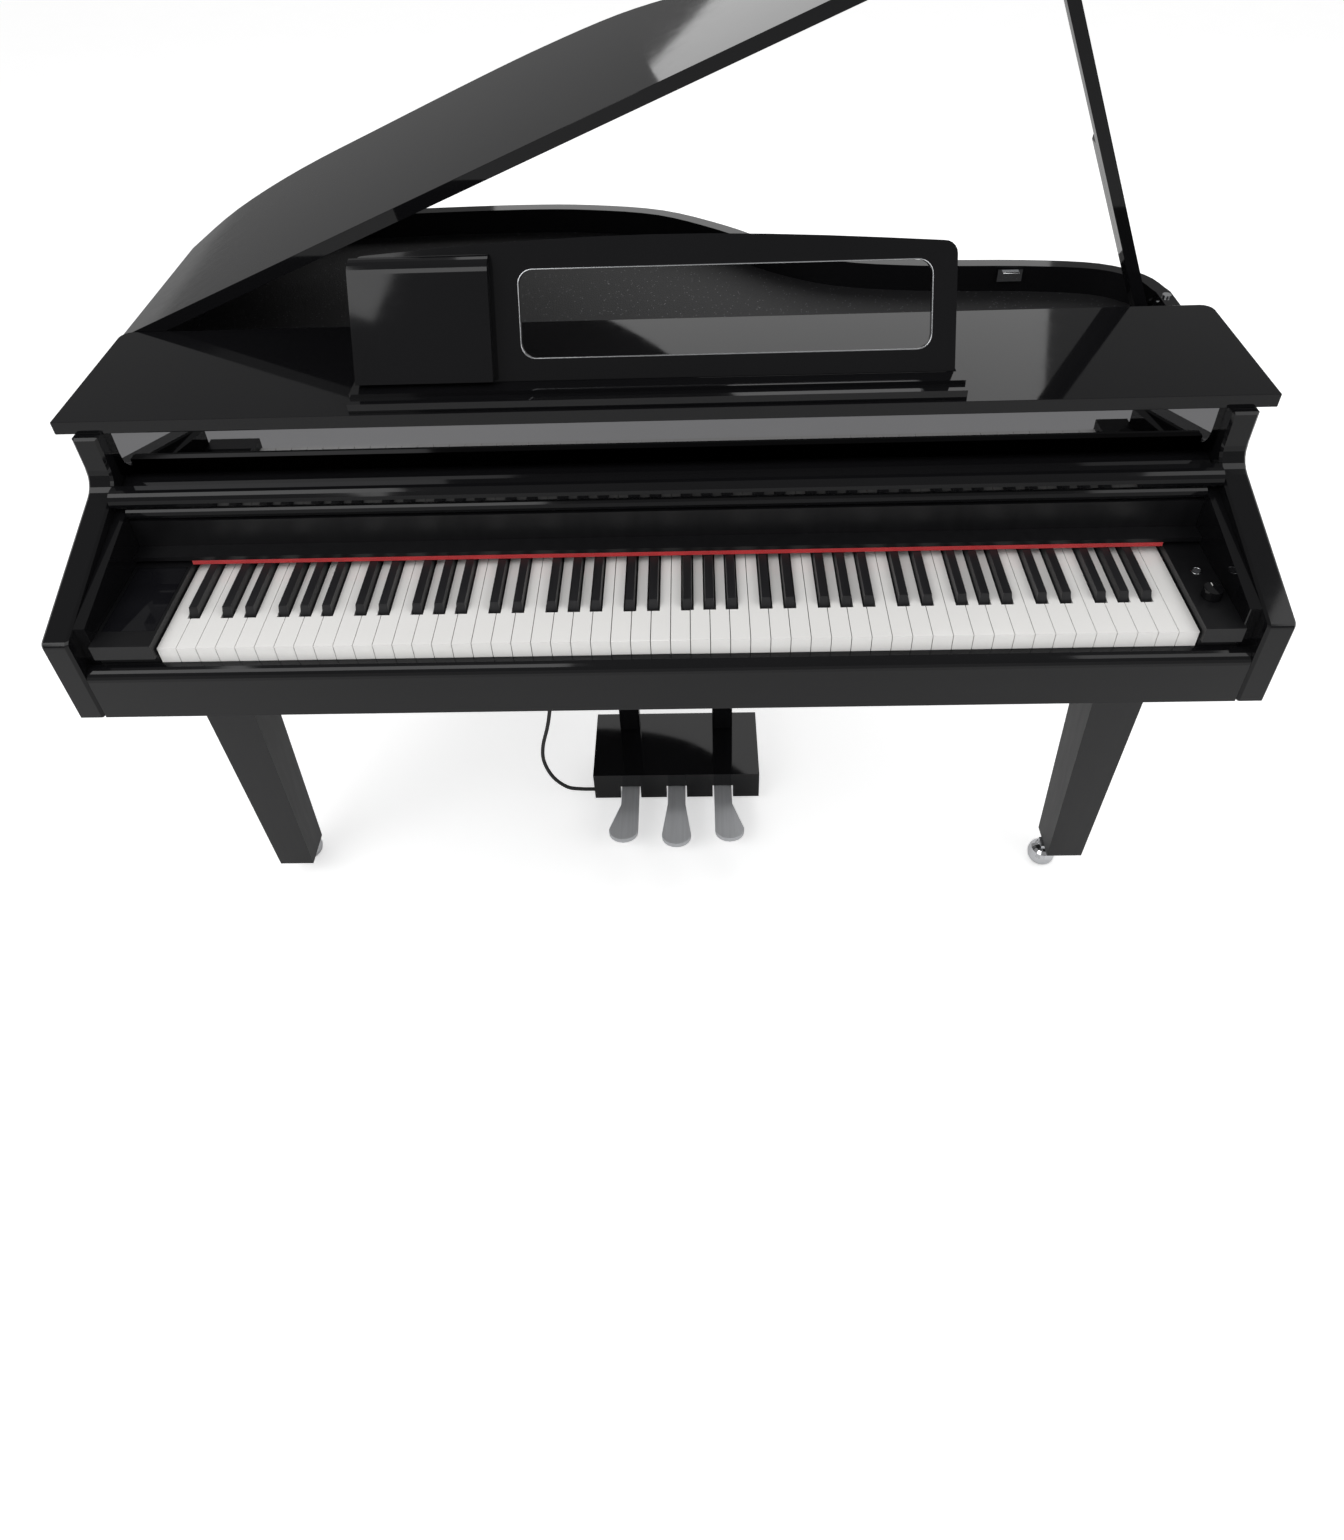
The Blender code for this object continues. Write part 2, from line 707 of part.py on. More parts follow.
def note_name(i, sharp=False):
    """The name of a white key, or of the black key after it, such as c4 or c_sharp_4."""
    octave = (i + 5) // 7
    letter = NOTES[i % 7].lower()
    return f"{letter}_sharp_{octave}" if sharp else f"{letter}{octave}"


def add_keys():
    """One run of separate keys from middle C, and the other keys in two banks."""
    singles = range(FIRST_SINGLE, FIRST_SINGLE + SINGLE_WHITES)
    pivot = (0, KEY_PIVOT_Y, KEY_TOP - KEY_PIVOT_DROP)
    for i in singles:
        mesh = outline_solid([white_outline(i, SINGLE_TAIL)], KEY_TOP - WHITE_HEIGHT, KEY_TOP)
        key = add(f"white_key_{note_name(i)}", mesh, IVORY, pivot)
        soften(key, 0.0005, 1)
        if black_after(i):
            add(f"black_key_{note_name(i, True)}", black_key(i, SINGLE_TAIL), EBONY, pivot)

    others = [i for i in range(WHITE_COUNT) if i not in singles]
    outlines = [white_outline(i, BANK_TAIL) for i in others]
    whites = outline_solid(outlines, KEY_TOP - WHITE_HEIGHT, KEY_TOP)
    bank = add("white_key_bank", whites, IVORY, pivot)
    rail_back = BANK_TAIL + BANK_RAIL - 0.001
    low_top = KEY_TOP - BLACK_DEPTH - RAIL_SPLIT
    rail = box(
        KEY_LEFT + KEY_GAP,
        KEY_RIGHT - KEY_GAP,
        BANK_TAIL - 0.001,
        rail_back,
        KEY_TOP - WHITE_HEIGHT,
        low_top,
    )
    join(bank, helper("white_bank_rail", rail))

    rail_front = BANK_TAIL + 0.001
    blacks = [black_key(i, rail_front + 0.001) for i in others if black_after(i)]
    bank = add("black_key_bank", merged(blacks), EBONY, pivot)
    rail = box(
        black_centre(0) - BLACK_HALF_TOP,
        black_centre(WHITE_COUNT - 3) + BLACK_HALF_TOP,
        rail_front,
        rail_back,
        KEY_TOP - BLACK_DEPTH,
        KEY_TOP,
    )
    join(bank, helper("black_bank_rail", rail))


def add_key_chassis():
    """The frame under the keys, with a front guide and a rear rest."""
    z0 = CASE_TOP_INSIDE + GAP
    base = z0 + CHASSIS_BASE
    guide = base + CHASSIS_GUIDE - 0.014
    rest = KEY_TOP - WHITE_HEIGHT - CHASSIS_REST
    profile = [
        (CHASSIS_FRONT, z0),
        (CHASSIS_BACK, z0),
        (CHASSIS_BACK, rest),
        (SINGLE_TAIL - 0.0015, rest),
        (SINGLE_TAIL - 0.0015, base),
        (0.034, base),
        (0.034, guide),
        (0.020, guide),
        (0.020, base),
        (CHASSIS_FRONT, base),
    ]
    add("key_chassis", outline_solid([profile], KEY_LEFT + 0.002, KEY_RIGHT - 0.002, SIDE), PLASTIC)


def add_key_surround():
    """Keyslip, key blocks, cover tracks, fall rail, felt and nameboard."""
    within = SIDE_INNER - GAP
    top = KEY_TOP - WHITE_HEIGHT
    front = -KEYSLIP_DEPTH - GAP
    r = KEYSLIP_RADIUS
    slip = (
        [(front, CASE_BOTTOM), (-2 * GAP, CASE_BOTTOM), (-2 * GAP, top)]
        + arc(front + r, top - r, r, 90, 180, 6)
    )
    add("keyslip", outline_solid([slip], -within, within, SIDE), GLOSS_BLACK)

    low = CASE_TOP_INSIDE + GAP
    rise = math.tan(TRACK_SLOPE)
    track = [
        (GAP, low),
        (TRACK_BACK, low),
        (TRACK_BACK, KEY_TOP + TRACK_TOP + TRACK_BACK * rise),
        (GAP, KEY_TOP + TRACK_TOP),
    ]
    for name, x0 in (("left_cover_track", -within), ("right_cover_track", TRACK_INNER)):
        add(name, outline_solid([track], x0, x0 + TRACK_THICKNESS, SIDE), GLOSS_BLACK)

    block = [
        (GAP, low),
        (BLOCK_BACK, low),
        (BLOCK_BACK, BLOCK_TOP),
        (-BLOCK_LIP, BLOCK_TOP),
        (-BLOCK_LIP, BLOCK_TOP - BLOCK_LIP_HEIGHT),
        (GAP, BLOCK_TOP - BLOCK_LIP_HEIGHT),
    ]
    edge = TRACK_INNER - GAP
    left = add("left_key_block", outline_solid([block], -edge, KEY_LEFT - BLOCK_KEY_GAP, SIDE), SATIN_BLACK)
    right = add("right_key_block", outline_solid([block], KEY_RIGHT + BLOCK_KEY_GAP, edge, SIDE), SATIN_BLACK)

    recess_x0, recess_x1 = -edge + PANEL_EDGE, KEY_LEFT - BLOCK_KEY_GAP - PANEL_EDGE
    recess_z = BLOCK_TOP - PANEL_THICKNESS - GAP
    pocket = box(recess_x0, recess_x1, PANEL_FRONT, PANEL_BACK, recess_z, BLOCK_TOP + 0.01)
    cut(left, helper("touch_panel_pocket", pocket))
    panel = box(
        recess_x0 + GAP,
        recess_x1 - GAP,
        PANEL_FRONT + GAP,
        PANEL_BACK - GAP,
        BLOCK_TOP - PANEL_THICKNESS,
        BLOCK_TOP,
    )
    add("touch_panel", panel, GLASS)
    add_controls(right)

    ledge = [
        (LEDGE_FRONT, KEY_TOP + LEDGE_BOTTOM),
        (FALL_FACE + FALL_THICKNESS, KEY_TOP + LEDGE_BOTTOM),
        (FALL_FACE + FALL_THICKNESS, KEY_TOP + FALL_TOP),
        (FALL_FACE, KEY_TOP + FALL_TOP),
        (FALL_FACE, KEY_TOP + LEDGE_TOP),
        (LEDGE_FRONT, KEY_TOP + LEDGE_TOP),
    ]
    add("fall_rail", outline_solid([ledge], -edge, edge, SIDE), SATIN_BLACK)
    felt = box(
        KEY_LEFT,
        KEY_RIGHT,
        FELT_FRONT,
        FELT_FRONT + FELT_DEPTH,
        KEY_TOP + BLACK_RISE + 0.001,
        KEY_TOP + LEDGE_BOTTOM - GAP,
    )
    add("key_felt", felt, RED_FELT)
    nameboard = box(
        -within,
        within,
        NAMEBOARD_FRONT,
        NAMEBOARD_FRONT + NAMEBOARD_THICKNESS,
        KEY_TOP + NAMEBOARD_BOTTOM,
        RIM_TOP,
    )
    add("nameboard", nameboard, GLOSS_BLACK)


def add_controls(block):
    """The power button and the volume knob in the right key block."""
    hole = rod(
        BUTTON_RADIUS + GAP,
        (BUTTON_X, BUTTON_Y, BLOCK_TOP - BUTTON_DEPTH),
        (BUTTON_X, BUTTON_Y, BLOCK_TOP + 0.01),
    )
    cut(block, helper("power_button_hole", hole))
    button = rod(
        BUTTON_RADIUS,
        (BUTTON_X, BUTTON_Y, BLOCK_TOP - BUTTON_HEIGHT),
        (BUTTON_X, BUTTON_Y, BLOCK_TOP + 0.001),
    )
    add("power_button", button, PLASTIC, (BUTTON_X, BUTTON_Y, BLOCK_TOP))

    hole = rod(
        KNOB_SHAFT + GAP,
        (KNOB_X, KNOB_Y, BLOCK_TOP - KNOB_SHAFT_DEPTH - GAP),
        (KNOB_X, KNOB_Y, BLOCK_TOP + 0.01),
    )
    cut(block, helper("volume_shaft_hole", hole))
    cap = rod(
        KNOB_RADIUS,
        (KNOB_X, KNOB_Y, BLOCK_TOP + 2 * GAP),
        (KNOB_X, KNOB_Y, BLOCK_TOP + KNOB_HEIGHT),
        24,
        KNOB_RADIUS * 0.94,
    )
    knob = add("volume_knob", cap, GLOSS_BLACK, (KNOB_X, KNOB_Y, BLOCK_TOP))
    shaft = rod(
        KNOB_SHAFT,
        (KNOB_X, KNOB_Y, BLOCK_TOP - KNOB_SHAFT_DEPTH),
        (KNOB_X, KNOB_Y, BLOCK_TOP + KNOB_HEIGHT / 2),
        16,
    )
    join(knob, helper("volume_shaft", shaft))


def add_key_cover():
    """The sliding cover: a thin board on the two tracks, with a moulded nosing in front."""
    rise = math.tan(TRACK_SLOPE)
    half = SIDE_INNER - COVER_SIDE_GAP
    nose_back = COVER_FRONT + COVER_NOSE_DEPTH
    on_track = KEY_TOP + TRACK_TOP + GAP / math.cos(TRACK_SLOPE)
    board_low = on_track + (nose_back - 0.002) * rise
    back_low = on_track + COVER_BACK * rise
    board = [
        (nose_back - 0.002, board_low),
        (COVER_BACK, back_low),
        (COVER_BACK, back_low + COVER_BOARD),
        (nose_back - 0.002, board_low + COVER_BOARD),
    ]
    cover = add("key_cover", outline_solid([board], -half, half, SIDE), GLOSS_BLACK)

    split = on_track + nose_back * rise + 0.001
    upper_radius = (KEY_TOP + COVER_TOP - split) / 2
    upper = (
        [(nose_back, split), (nose_back, KEY_TOP + COVER_TOP)]
        + arc(COVER_FRONT + upper_radius * 0.7, split + upper_radius, upper_radius, 90, 270, 8)
    )
    join(cover, helper("cover_upper_bead", outline_solid([upper], -half, half, SIDE)))
    low_z = KEY_TOP + COVER_BOTTOM
    lower_radius = (split + 0.001 - low_z) / 2
    lower = (
        [(nose_back - 0.001, low_z + 0.001), (nose_back - 0.001, split + 0.001)]
        + arc(COVER_FRONT + lower_radius, low_z + lower_radius, lower_radius, 90, 270, 6)
    )
    inner = TRACK_INNER - 2 * GAP
    join(cover, helper("cover_lower_bead", outline_solid([lower], -inner, inner, SIDE)))


def add_music_desk():
    """The ledge on the front board, the folding desk with its pod, and its rear stay."""
    base = BOARD_TOP + GAP
    ledge = [
        (LEDGE_RAIL_FRONT, base),
        (LEDGE_RAIL_BACK, base),
        (LEDGE_RAIL_BACK, base + LEDGE_RAIL_HEIGHT + LEDGE_STEP_HEIGHT),
        (LEDGE_STEP_FRONT, base + LEDGE_RAIL_HEIGHT + LEDGE_STEP_HEIGHT),
        (LEDGE_STEP_FRONT, base + LEDGE_RAIL_HEIGHT),
        (LEDGE_RAIL_FRONT, base + LEDGE_RAIL_HEIGHT),
    ]
    rail = add("music_ledge", outline_solid([ledge], -LEDGE_HALF, LEDGE_HALF, SIDE), GLOSS_BLACK)

    # Desk coordinates: X across, Y up the desk, Z towards the player, about its pivot.
    pivot = (0, DESK_PIVOT_Y, BOARD_TOP + DESK_PIVOT_UP)
    stand = (math.pi / 2 - DESK_LEAN, 0, 0)
    front = 0.004
    desk = add(
        "music_desk",
        outline_solid([desk_outline(), window_outline()], front - DESK_THICKNESS, front),
        GLOSS_BLACK,
        pivot,
        stand,
        local=True,
    )
    for side, name in ((-1, "left"), (1, "right")):
        pin_ends = sorted((side * (DESK_HALF - 0.010), side * (LEDGE_HALF - 0.001)))
        pin = rod(DESK_PIN, (pin_ends[0], 0, 0), (pin_ends[1], 0, 0), 12)
        join(desk, helper(f"{name}_desk_pin", pin, pivot, stand, local=True))
        ear_ends = sorted((side * (DESK_HALF + 2 * GAP), side * LEDGE_HALF))
        ear = box(*ear_ends, LEDGE_RAIL_BACK - 0.002, DESK_PIVOT_Y + EAR_WALL, base, pivot[2] + EAR_WALL)
        join(rail, helper(f"{name}_desk_ear", ear))
        bore = rod(DESK_PIN + GAP, (ear_ends[0] - 0.01, *pivot[1:]), (ear_ends[1] + 0.01, *pivot[1:]), 12)
        cut(rail, helper(f"{name}_desk_ear_bore", bore))
    add("desk_pod", pod_solid(front + GAP), SATIN_BLACK, pivot, stand, local=True)
    add_desk_stay(desk, pivot, stand, front)


def desk_outline():
    """The desk from the front: straight foot and sides, round corners and a flat arch on top."""
    r = DESK_CORNER
    left, right = -DESK_HALF, DESK_HALF
    top = []
    steps = 10
    for i in range(steps + 1):
        t = i / steps
        x = right - r + (left - right + 2 * r) * t
        top.append((x, DESK_HEIGHT + DESK_ARCH * math.sin(math.pi * t)))
    corner_right = arc(right - r, DESK_HEIGHT - r, r, 0, 72, 4)
    corner_left = arc(left + r, DESK_HEIGHT - r, r, 108, 180, 4)
    return [(left, 0.002), (right, 0.002)] + corner_right + top + corner_left


def window_outline():
    return rounded_rectangle(WINDOW_LEFT, WINDOW_RIGHT, WINDOW_BOTTOM, WINDOW_TOP, WINDOW_CORNER)


def pod_solid(face):
    """The box-like pod at the left end of the desk, its top edge rounded towards the player."""
    r = POD_DEPTH
    top = DESK_HEIGHT - POD_FOOT / 2
    profile = [(POD_FOOT, face), (top, face)] + arc(top - r, face, r, 0, 90, 6)[1:]
    profile += [(POD_FOOT, face + POD_DEPTH)]
    return outline_solid([profile], -DESK_HALF, POD_RIGHT, SIDE)


def add_desk_stay(desk, pivot, stand, front):
    """The wire stay behind the desk: hinged in two ears on the desk, its foot on the front board."""
    back = front - DESK_THICKNESS
    knuckle = back - STAY_OFF_DESK
    for side, name in ((-1, "left"), (1, "right")):
        near = STAY_HALF + STAY_EAR_OUT
        ends = sorted((STAY_X + side * near, STAY_X + side * (near + STAY_EAR)))
        ear = box(
            *ends,
            STAY_PIVOT_UP - STAY_EAR,
            STAY_PIVOT_UP + STAY_EAR,
            knuckle - STAY_RADIUS - STAY_EAR_WALL,
            back + 0.001,
        )
        join(desk, helper(f"{name}_stay_ear", ear, pivot, stand, local=True))
        at = (STAY_PIVOT_UP, knuckle)
        bore = rod(STAY_RADIUS + GAP, (ends[0] - 0.01, *at), (ends[1] + 0.01, *at), 12)
        cut(desk, helper(f"{name}_stay_bore", bore, pivot, stand, local=True))
    turned = Matrix.Translation(pivot) @ Matrix.Rotation(stand[0], 4, "X")
    at = turned @ Vector((STAY_X, STAY_PIVOT_UP, knuckle))
    drop = at.z - BOARD_TOP - STAY_RADIUS - GAP
    swing = math.acos(drop / STAY_LENGTH)
    end = STAY_HALF + STAY_EAR_OUT + STAY_EAR
    legs = [
        (-end, 0, 0),
        (-STAY_HALF, 0, 0),
        (-STAY_HALF, 0, -STAY_LENGTH),
        (STAY_HALF, 0, -STAY_LENGTH),
        (STAY_HALF, 0, 0),
        (end, 0, 0),
    ]
    curve = bpy.data.curves.new("desk_stay", "CURVE")
    curve.dimensions = "3D"
    curve.bevel_depth = STAY_RADIUS
    curve.bevel_resolution = 1
    curve.use_fill_caps = True
    spline = curve.splines.new("POLY")
    spline.points.add(len(legs) - 1)
    for point, place in zip(spline.points, legs):
        point.co = (*place, 1)
    curve.materials.append(CHROME)
    stay = bpy.data.objects.new("desk_stay", curve)
    stay.location = at
    stay.rotation_euler = (swing, 0, 0)
    stay.parent = ROOT
    PARTS.objects.link(stay)


def add_legs():
    """Three tapering legs, each with a hooded caster."""
    root_half = 2**0.5
    places = (
        ("left", -LEG_X, LEG_Y, math.radians(90)),
        ("right", LEG_X, LEG_Y, math.radians(180)),
        ("rear", REAR_LEG_X, REAR_LEG_Y, math.radians(60)),
    )
    for name, x, y, heading in places:
        bm = bmesh.new()
        bmesh.ops.create_cone(
            bm,
            cap_ends=True,
            segments=4,
            radius1=LEG_HALF_BOTTOM * root_half,
            radius2=LEG_HALF_TOP * root_half,
            depth=CASE_BOTTOM - GAP - LEG_BOTTOM,
        )
        middle = Matrix.Translation((x, y, (CASE_BOTTOM - GAP + LEG_BOTTOM) / 2))
        bmesh.ops.transform(bm, matrix=middle @ Matrix.Rotation(math.pi / 4, 4, "Z"), verts=bm.verts)
        leg = add(f"{name}_leg", mesh_of(bm), SATIN_BLACK, (x, y, LEG_BOTTOM))
        socket = rod(
            STEM_RADIUS + GAP,
            (x, y, LEG_BOTTOM - 0.01),
            (x, y, LEG_BOTTOM + STEM_LENGTH + GAP),
            16,
        )
        cut(leg, helper(f"{name}_stem_socket", socket))
        add_caster(name, x, y, heading)


def add_caster(name, x, y, heading):
    """A swivelling hood with its wheel, trailing from the stem along the heading."""
    stem = (x, y, LEG_BOTTOM)
    turn = (0, 0, heading)
    centre_z = WHEEL_RADIUS - LEG_BOTTOM

    def piece(label, mesh):
        return helper(f"{name}_{label}", mesh, stem, turn, local=True)

    hub = (CASTER_TRAIL, 0, centre_z)
    hood = add(f"{name}_caster_hood", ball(HOOD_RADIUS, hub), CHROME, stem, turn, local=True)
    cut(hood, piece("hood_hollow", ball(HOOD_RADIUS - HOOD_WALL, hub)))
    wide = 2 * HOOD_RADIUS
    skirt = box(
        CASTER_TRAIL - wide,
        CASTER_TRAIL + wide,
        -wide,
        wide,
        -LEG_BOTTOM - 0.01,
        HOOD_SKIRT - LEG_BOTTOM,
    )
    cut(hood, piece("hood_skirt", skirt))
    plate_low = centre_z + HOOD_RADIUS - 0.0015
    plate = box(-0.011, CASTER_TRAIL + 0.006, -0.009, 0.009, plate_low, -2 * GAP)
    join(hood, piece("swivel_plate", plate))
    join(hood, piece("swivel_stem", rod(STEM_RADIUS, (0, 0, -0.002), (0, 0, STEM_LENGTH), 16)))
    reach = HOOD_RADIUS - HOOD_WALL / 2
    axle = rod(AXLE_RADIUS, (CASTER_TRAIL, -reach, centre_z), (CASTER_TRAIL, reach, centre_z), 10)
    join(hood, piece("wheel_axle", axle))

    ahead = Matrix.Rotation(heading, 3, "Z") @ Vector((CASTER_TRAIL, 0, 0))
    wheel_at = (x + ahead.x, y + ahead.y, WHEEL_RADIUS)
    wheel = add(
        f"{name}_caster_wheel",
        rod(WHEEL_RADIUS, (0, -WHEEL_HALF, 0), (0, WHEEL_HALF, 0), 24),
        RUBBER,
        wheel_at,
        turn,
        local=True,
    )
    bore = rod(AXLE_RADIUS + GAP, (0, -0.02, 0), (0, 0.02, 0), 10)
    cut(wheel, helper(f"{name}_wheel_bore", bore, wheel_at, turn, local=True))


def add_lyre():
    """The pedal box on its two posts, with the pedals on one axle."""
    shell = add(
        "pedal_box",
        box(-BOX_HALF, BOX_HALF, BOX_FRONT, BOX_BACK, BOX_BOTTOM, BOX_TOP),
        GLOSS_BLACK,
    )
    hollow = box(
        -BOX_HALF + BOX_WALL,
        BOX_HALF - BOX_WALL,
        BOX_FRONT + BOX_WALL,
        BOX_BACK - BOX_WALL,
        BOX_BOTTOM - 0.01,
        BOX_TOP - BOX_WALL,
    )
    cut(shell, helper("pedal_box_hollow", hollow))
    for name, x in (("left", -POST_X), ("right", POST_X)):
        post = box(
            x - POST_HALF,
            x + POST_HALF,
            POST_Y - POST_HALF_DEPTH,
            POST_Y + POST_HALF_DEPTH,
            BOX_TOP + GAP,
            CASE_BOTTOM - GAP,
        )
        soften(add(f"{name}_lyre_post", post, GLOSS_BLACK), 0.003, 1)

    axle_z = PEDAL_BOTTOM + PEDAL_THICKNESS / 2
    inside = BOX_HALF - BOX_WALL - GAP
    ends = (-inside, PEDAL_AXLE_Y, axle_z), (inside, PEDAL_AXLE_Y, axle_z)
    add("pedal_axle", rod(PEDAL_AXLE, *ends, 16), CHROME)
    pedals = (
        ("left_pedal", -PEDAL_PITCH, PEDAL_TIP, -1),
        ("middle_pedal", 0.0, PEDAL_TIP_MIDDLE, 0),
        ("right_pedal", PEDAL_PITCH, PEDAL_TIP, 1),
    )
    for name, x, tip, flare in pedals:
        slot = box(
            x - PEDAL_SLOT_HALF,
            x + PEDAL_SLOT_HALF,
            BOX_FRONT - 0.01,
            BOX_FRONT + BOX_WALL + 0.01,
            BOX_BOTTOM - 0.01,
            PEDAL_SLOT_TOP,
        )
        cut(shell, helper(f"{name}_slot", slot))
        pivot = (x, PEDAL_AXLE_Y, axle_z)
        pedal = add(
            name,
            outline_solid([pedal_outline(x, tip, flare)], PEDAL_BOTTOM, PEDAL_BOTTOM + PEDAL_THICKNESS),
            SATIN_METAL,
            pivot,
        )
        boss = rod(
            PEDAL_BOSS,
            (x - PEDAL_ROOT_HALF, PEDAL_AXLE_Y, axle_z),
            (x + PEDAL_ROOT_HALF, PEDAL_AXLE_Y, axle_z),
            20,
        )
        join(pedal, helper(f"{name}_boss", boss))
        bore = rod(
            PEDAL_AXLE + GAP,
            (x - PEDAL_SLOT_HALF, PEDAL_AXLE_Y, axle_z),
            (x + PEDAL_SLOT_HALF, PEDAL_AXLE_Y, axle_z),
            16,
        )
        cut(pedal, helper(f"{name}_bore", bore))


def pedal_outline(x, tip, flare):
    """A pedal from above: a straight lever that widens to a round tip, more on its outer side."""
    root = PEDAL_ROOT_HALF
    wide = PEDAL_TIP_HALF
    centre = x + flare * (wide - root)
    round_y = tip + wide * 0.8
    tip_arc = [(px, round_y + (py - round_y) * 0.8) for px, py in arc(centre, round_y, wide, 180, 360, 10)]
    neck = BOX_FRONT - 0.030
    back = PEDAL_AXLE_Y
    return [(x + root, neck), (x + root, back), (x - root, back), (x - root, neck)] + tip_arc


def add_cable():
    """The pedal cable from under the case to the left side of the pedal box."""
    route = [
        (-0.170, 0.300, CASE_BOTTOM - GAP),
        (-0.172, 0.300, 0.560),
        (-0.180, 0.300, 0.450),
        (-0.194, 0.300, 0.335),
        (-0.210, 0.301, 0.238),
        (-0.226, 0.303, 0.173),
        (-0.229, 0.305, 0.128),
        (-0.218, 0.308, 0.081),
        (-0.196, 0.310, 0.050),
        (-0.172, 0.312, 0.041),
        (-BOX_HALF - GAP, 0.312, 0.040),
    ]
    path = smooth(route, steps=5)
    curve = bpy.data.curves.new("pedal_cable", "CURVE")
    curve.dimensions = "3D"
    curve.bevel_depth = CABLE_RADIUS
    curve.bevel_resolution = 2
    curve.use_fill_caps = True
    spline = curve.splines.new("POLY")
    spline.points.add(len(path) - 1)
    for point, place in zip(spline.points, path):
        point.co = (*place, 1)
    curve.materials.append(RUBBER)
    cable = bpy.data.objects.new("pedal_cable", curve)
    cable.parent = ROOT
    PARTS.objects.link(cable)


def add_electronics():
    """The two speakers that fire through the bottom board, and the main circuit board."""
    for name, x in (("left_speaker", -SPEAKER_X), ("right_speaker", SPEAKER_X)):
        add_speaker(name, x)
    z = CASE_TOP_INSIDE + GAP
    board = add(
        "main_board",
        box(MAIN_BOARD_X - 0.11, MAIN_BOARD_X + 0.11, MAIN_BOARD_Y - 0.06, MAIN_BOARD_Y + 0.06, z, z + 0.008),
        CIRCUIT,
    )
    for name, x, size in (("power_block", -0.06, 0.025), ("amplifier_block", 0.05, 0.018)):
        block = box(
            MAIN_BOARD_X + x - size,
            MAIN_BOARD_X + x + size,
            MAIN_BOARD_Y - size,
            MAIN_BOARD_Y + size,
            z + 0.004,
            z + 0.030,
        )
        join(board, helper(name, block))


def add_speaker(name, x):
    """A speaker turned from one profile, its flange on the bottom board and its cone open below."""
    z = CASE_TOP_INSIDE + GAP
    radius = SPEAKER_RADIUS - 0.004
    profile = [
        (0.022, z - 0.004),
        (radius - 0.006, z - 0.0165),
        (radius, z - 0.0165),
        (radius, z),
        (SPEAKER_FLANGE, z),
        (SPEAKER_FLANGE, z + 0.004),
        (radius, z + 0.004),
        (0.036, z + 0.040),
        (0.036, z + 0.060),
        (0.0, z + 0.060),
    ]
    mesh = bpy.data.meshes.new(name)
    points = [(r, 0, height) for r, height in [(0.0, z - 0.004)] + profile]
    mesh.from_pydata(points, [(i, i + 1) for i in range(len(points) - 1)], [])
    speaker = add(name, mesh, PLASTIC, (x, SPEAKER_Y, 0), local=True)
    modifier = speaker.modifiers.new("turned", "SCREW")
    modifier.axis = "Z"
    modifier.steps = 24
    modifier.render_steps = 24
    modifier.use_merge_vertices = True
    modifier.merge_threshold = 0.0001
    modifier.use_normal_flip = True


def main():
    add_case()
    add_front_board()
    add_main_lid()
    add_prop()
    add_rim_fittings()
    add_keys()
    add_key_chassis()
    add_key_surround()
    add_key_cover()
    add_music_desk()
    add_legs()
    add_lyre()
    add_cable()
    add_electronics()


main()
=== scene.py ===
"""Finishes, small trim and studio for a digital baby grand piano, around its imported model."""

import json
import math

import bpy
from bpy.props import FloatProperty, FloatVectorProperty, IntProperty, PointerProperty
from mathutils import Matrix, Vector


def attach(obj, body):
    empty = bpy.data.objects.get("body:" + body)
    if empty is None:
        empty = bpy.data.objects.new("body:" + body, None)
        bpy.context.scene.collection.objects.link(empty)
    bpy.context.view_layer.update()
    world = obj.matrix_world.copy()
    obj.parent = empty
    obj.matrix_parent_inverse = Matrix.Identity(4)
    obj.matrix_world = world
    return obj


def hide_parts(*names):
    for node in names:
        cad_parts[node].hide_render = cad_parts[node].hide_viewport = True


bl_info = {
    "name": "Baby Grand Piano Finishes",
    "version": (1, 0, 0),
    "blender": (4, 5, 0),
    "location": "View3D > Sidebar > Piano",
    "description": "Dresses the packed piano model with finishes, trim and a studio",
    "category": "Object",
}

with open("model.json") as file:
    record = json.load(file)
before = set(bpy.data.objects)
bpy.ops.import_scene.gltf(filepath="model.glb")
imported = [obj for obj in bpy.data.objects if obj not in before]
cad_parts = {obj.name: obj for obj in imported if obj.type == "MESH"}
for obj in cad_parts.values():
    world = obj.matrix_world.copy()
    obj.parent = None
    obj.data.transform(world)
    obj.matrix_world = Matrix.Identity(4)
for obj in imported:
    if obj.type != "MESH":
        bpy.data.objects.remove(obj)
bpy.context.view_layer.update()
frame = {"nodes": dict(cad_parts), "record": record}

# The piano's own middle lies this far from the model's origin
MIDDLE = Vector((0.00333, -0.4315, 0.0))

# Music desk: pivot, lean, front face and the window cut in it
DESK_PIVOT = Vector((0.0, 0.246, 0.9388))
DESK_TURN = math.radians(63.0)
DESK_FACE = 0.004
WINDOW_LEFT = -0.163
WINDOW_RIGHT = 0.336
WINDOW_BOTTOM = 0.030
WINDOW_TOP = 0.137
WINDOW_CORNER = 0.018

# Controls on the right key block
BLOCK_TOP = 0.747
BUTTON = Vector((0.650, 0.090, BLOCK_TOP))
KNOB = Vector((0.651, 0.046, BLOCK_TOP))
KNOB_TOP = 0.013

# Lid hinge leaf on the left side of the rim
HINGE_X = -0.7192
HINGE_FRONT = 0.455
HINGE_LEVEL = 0.896

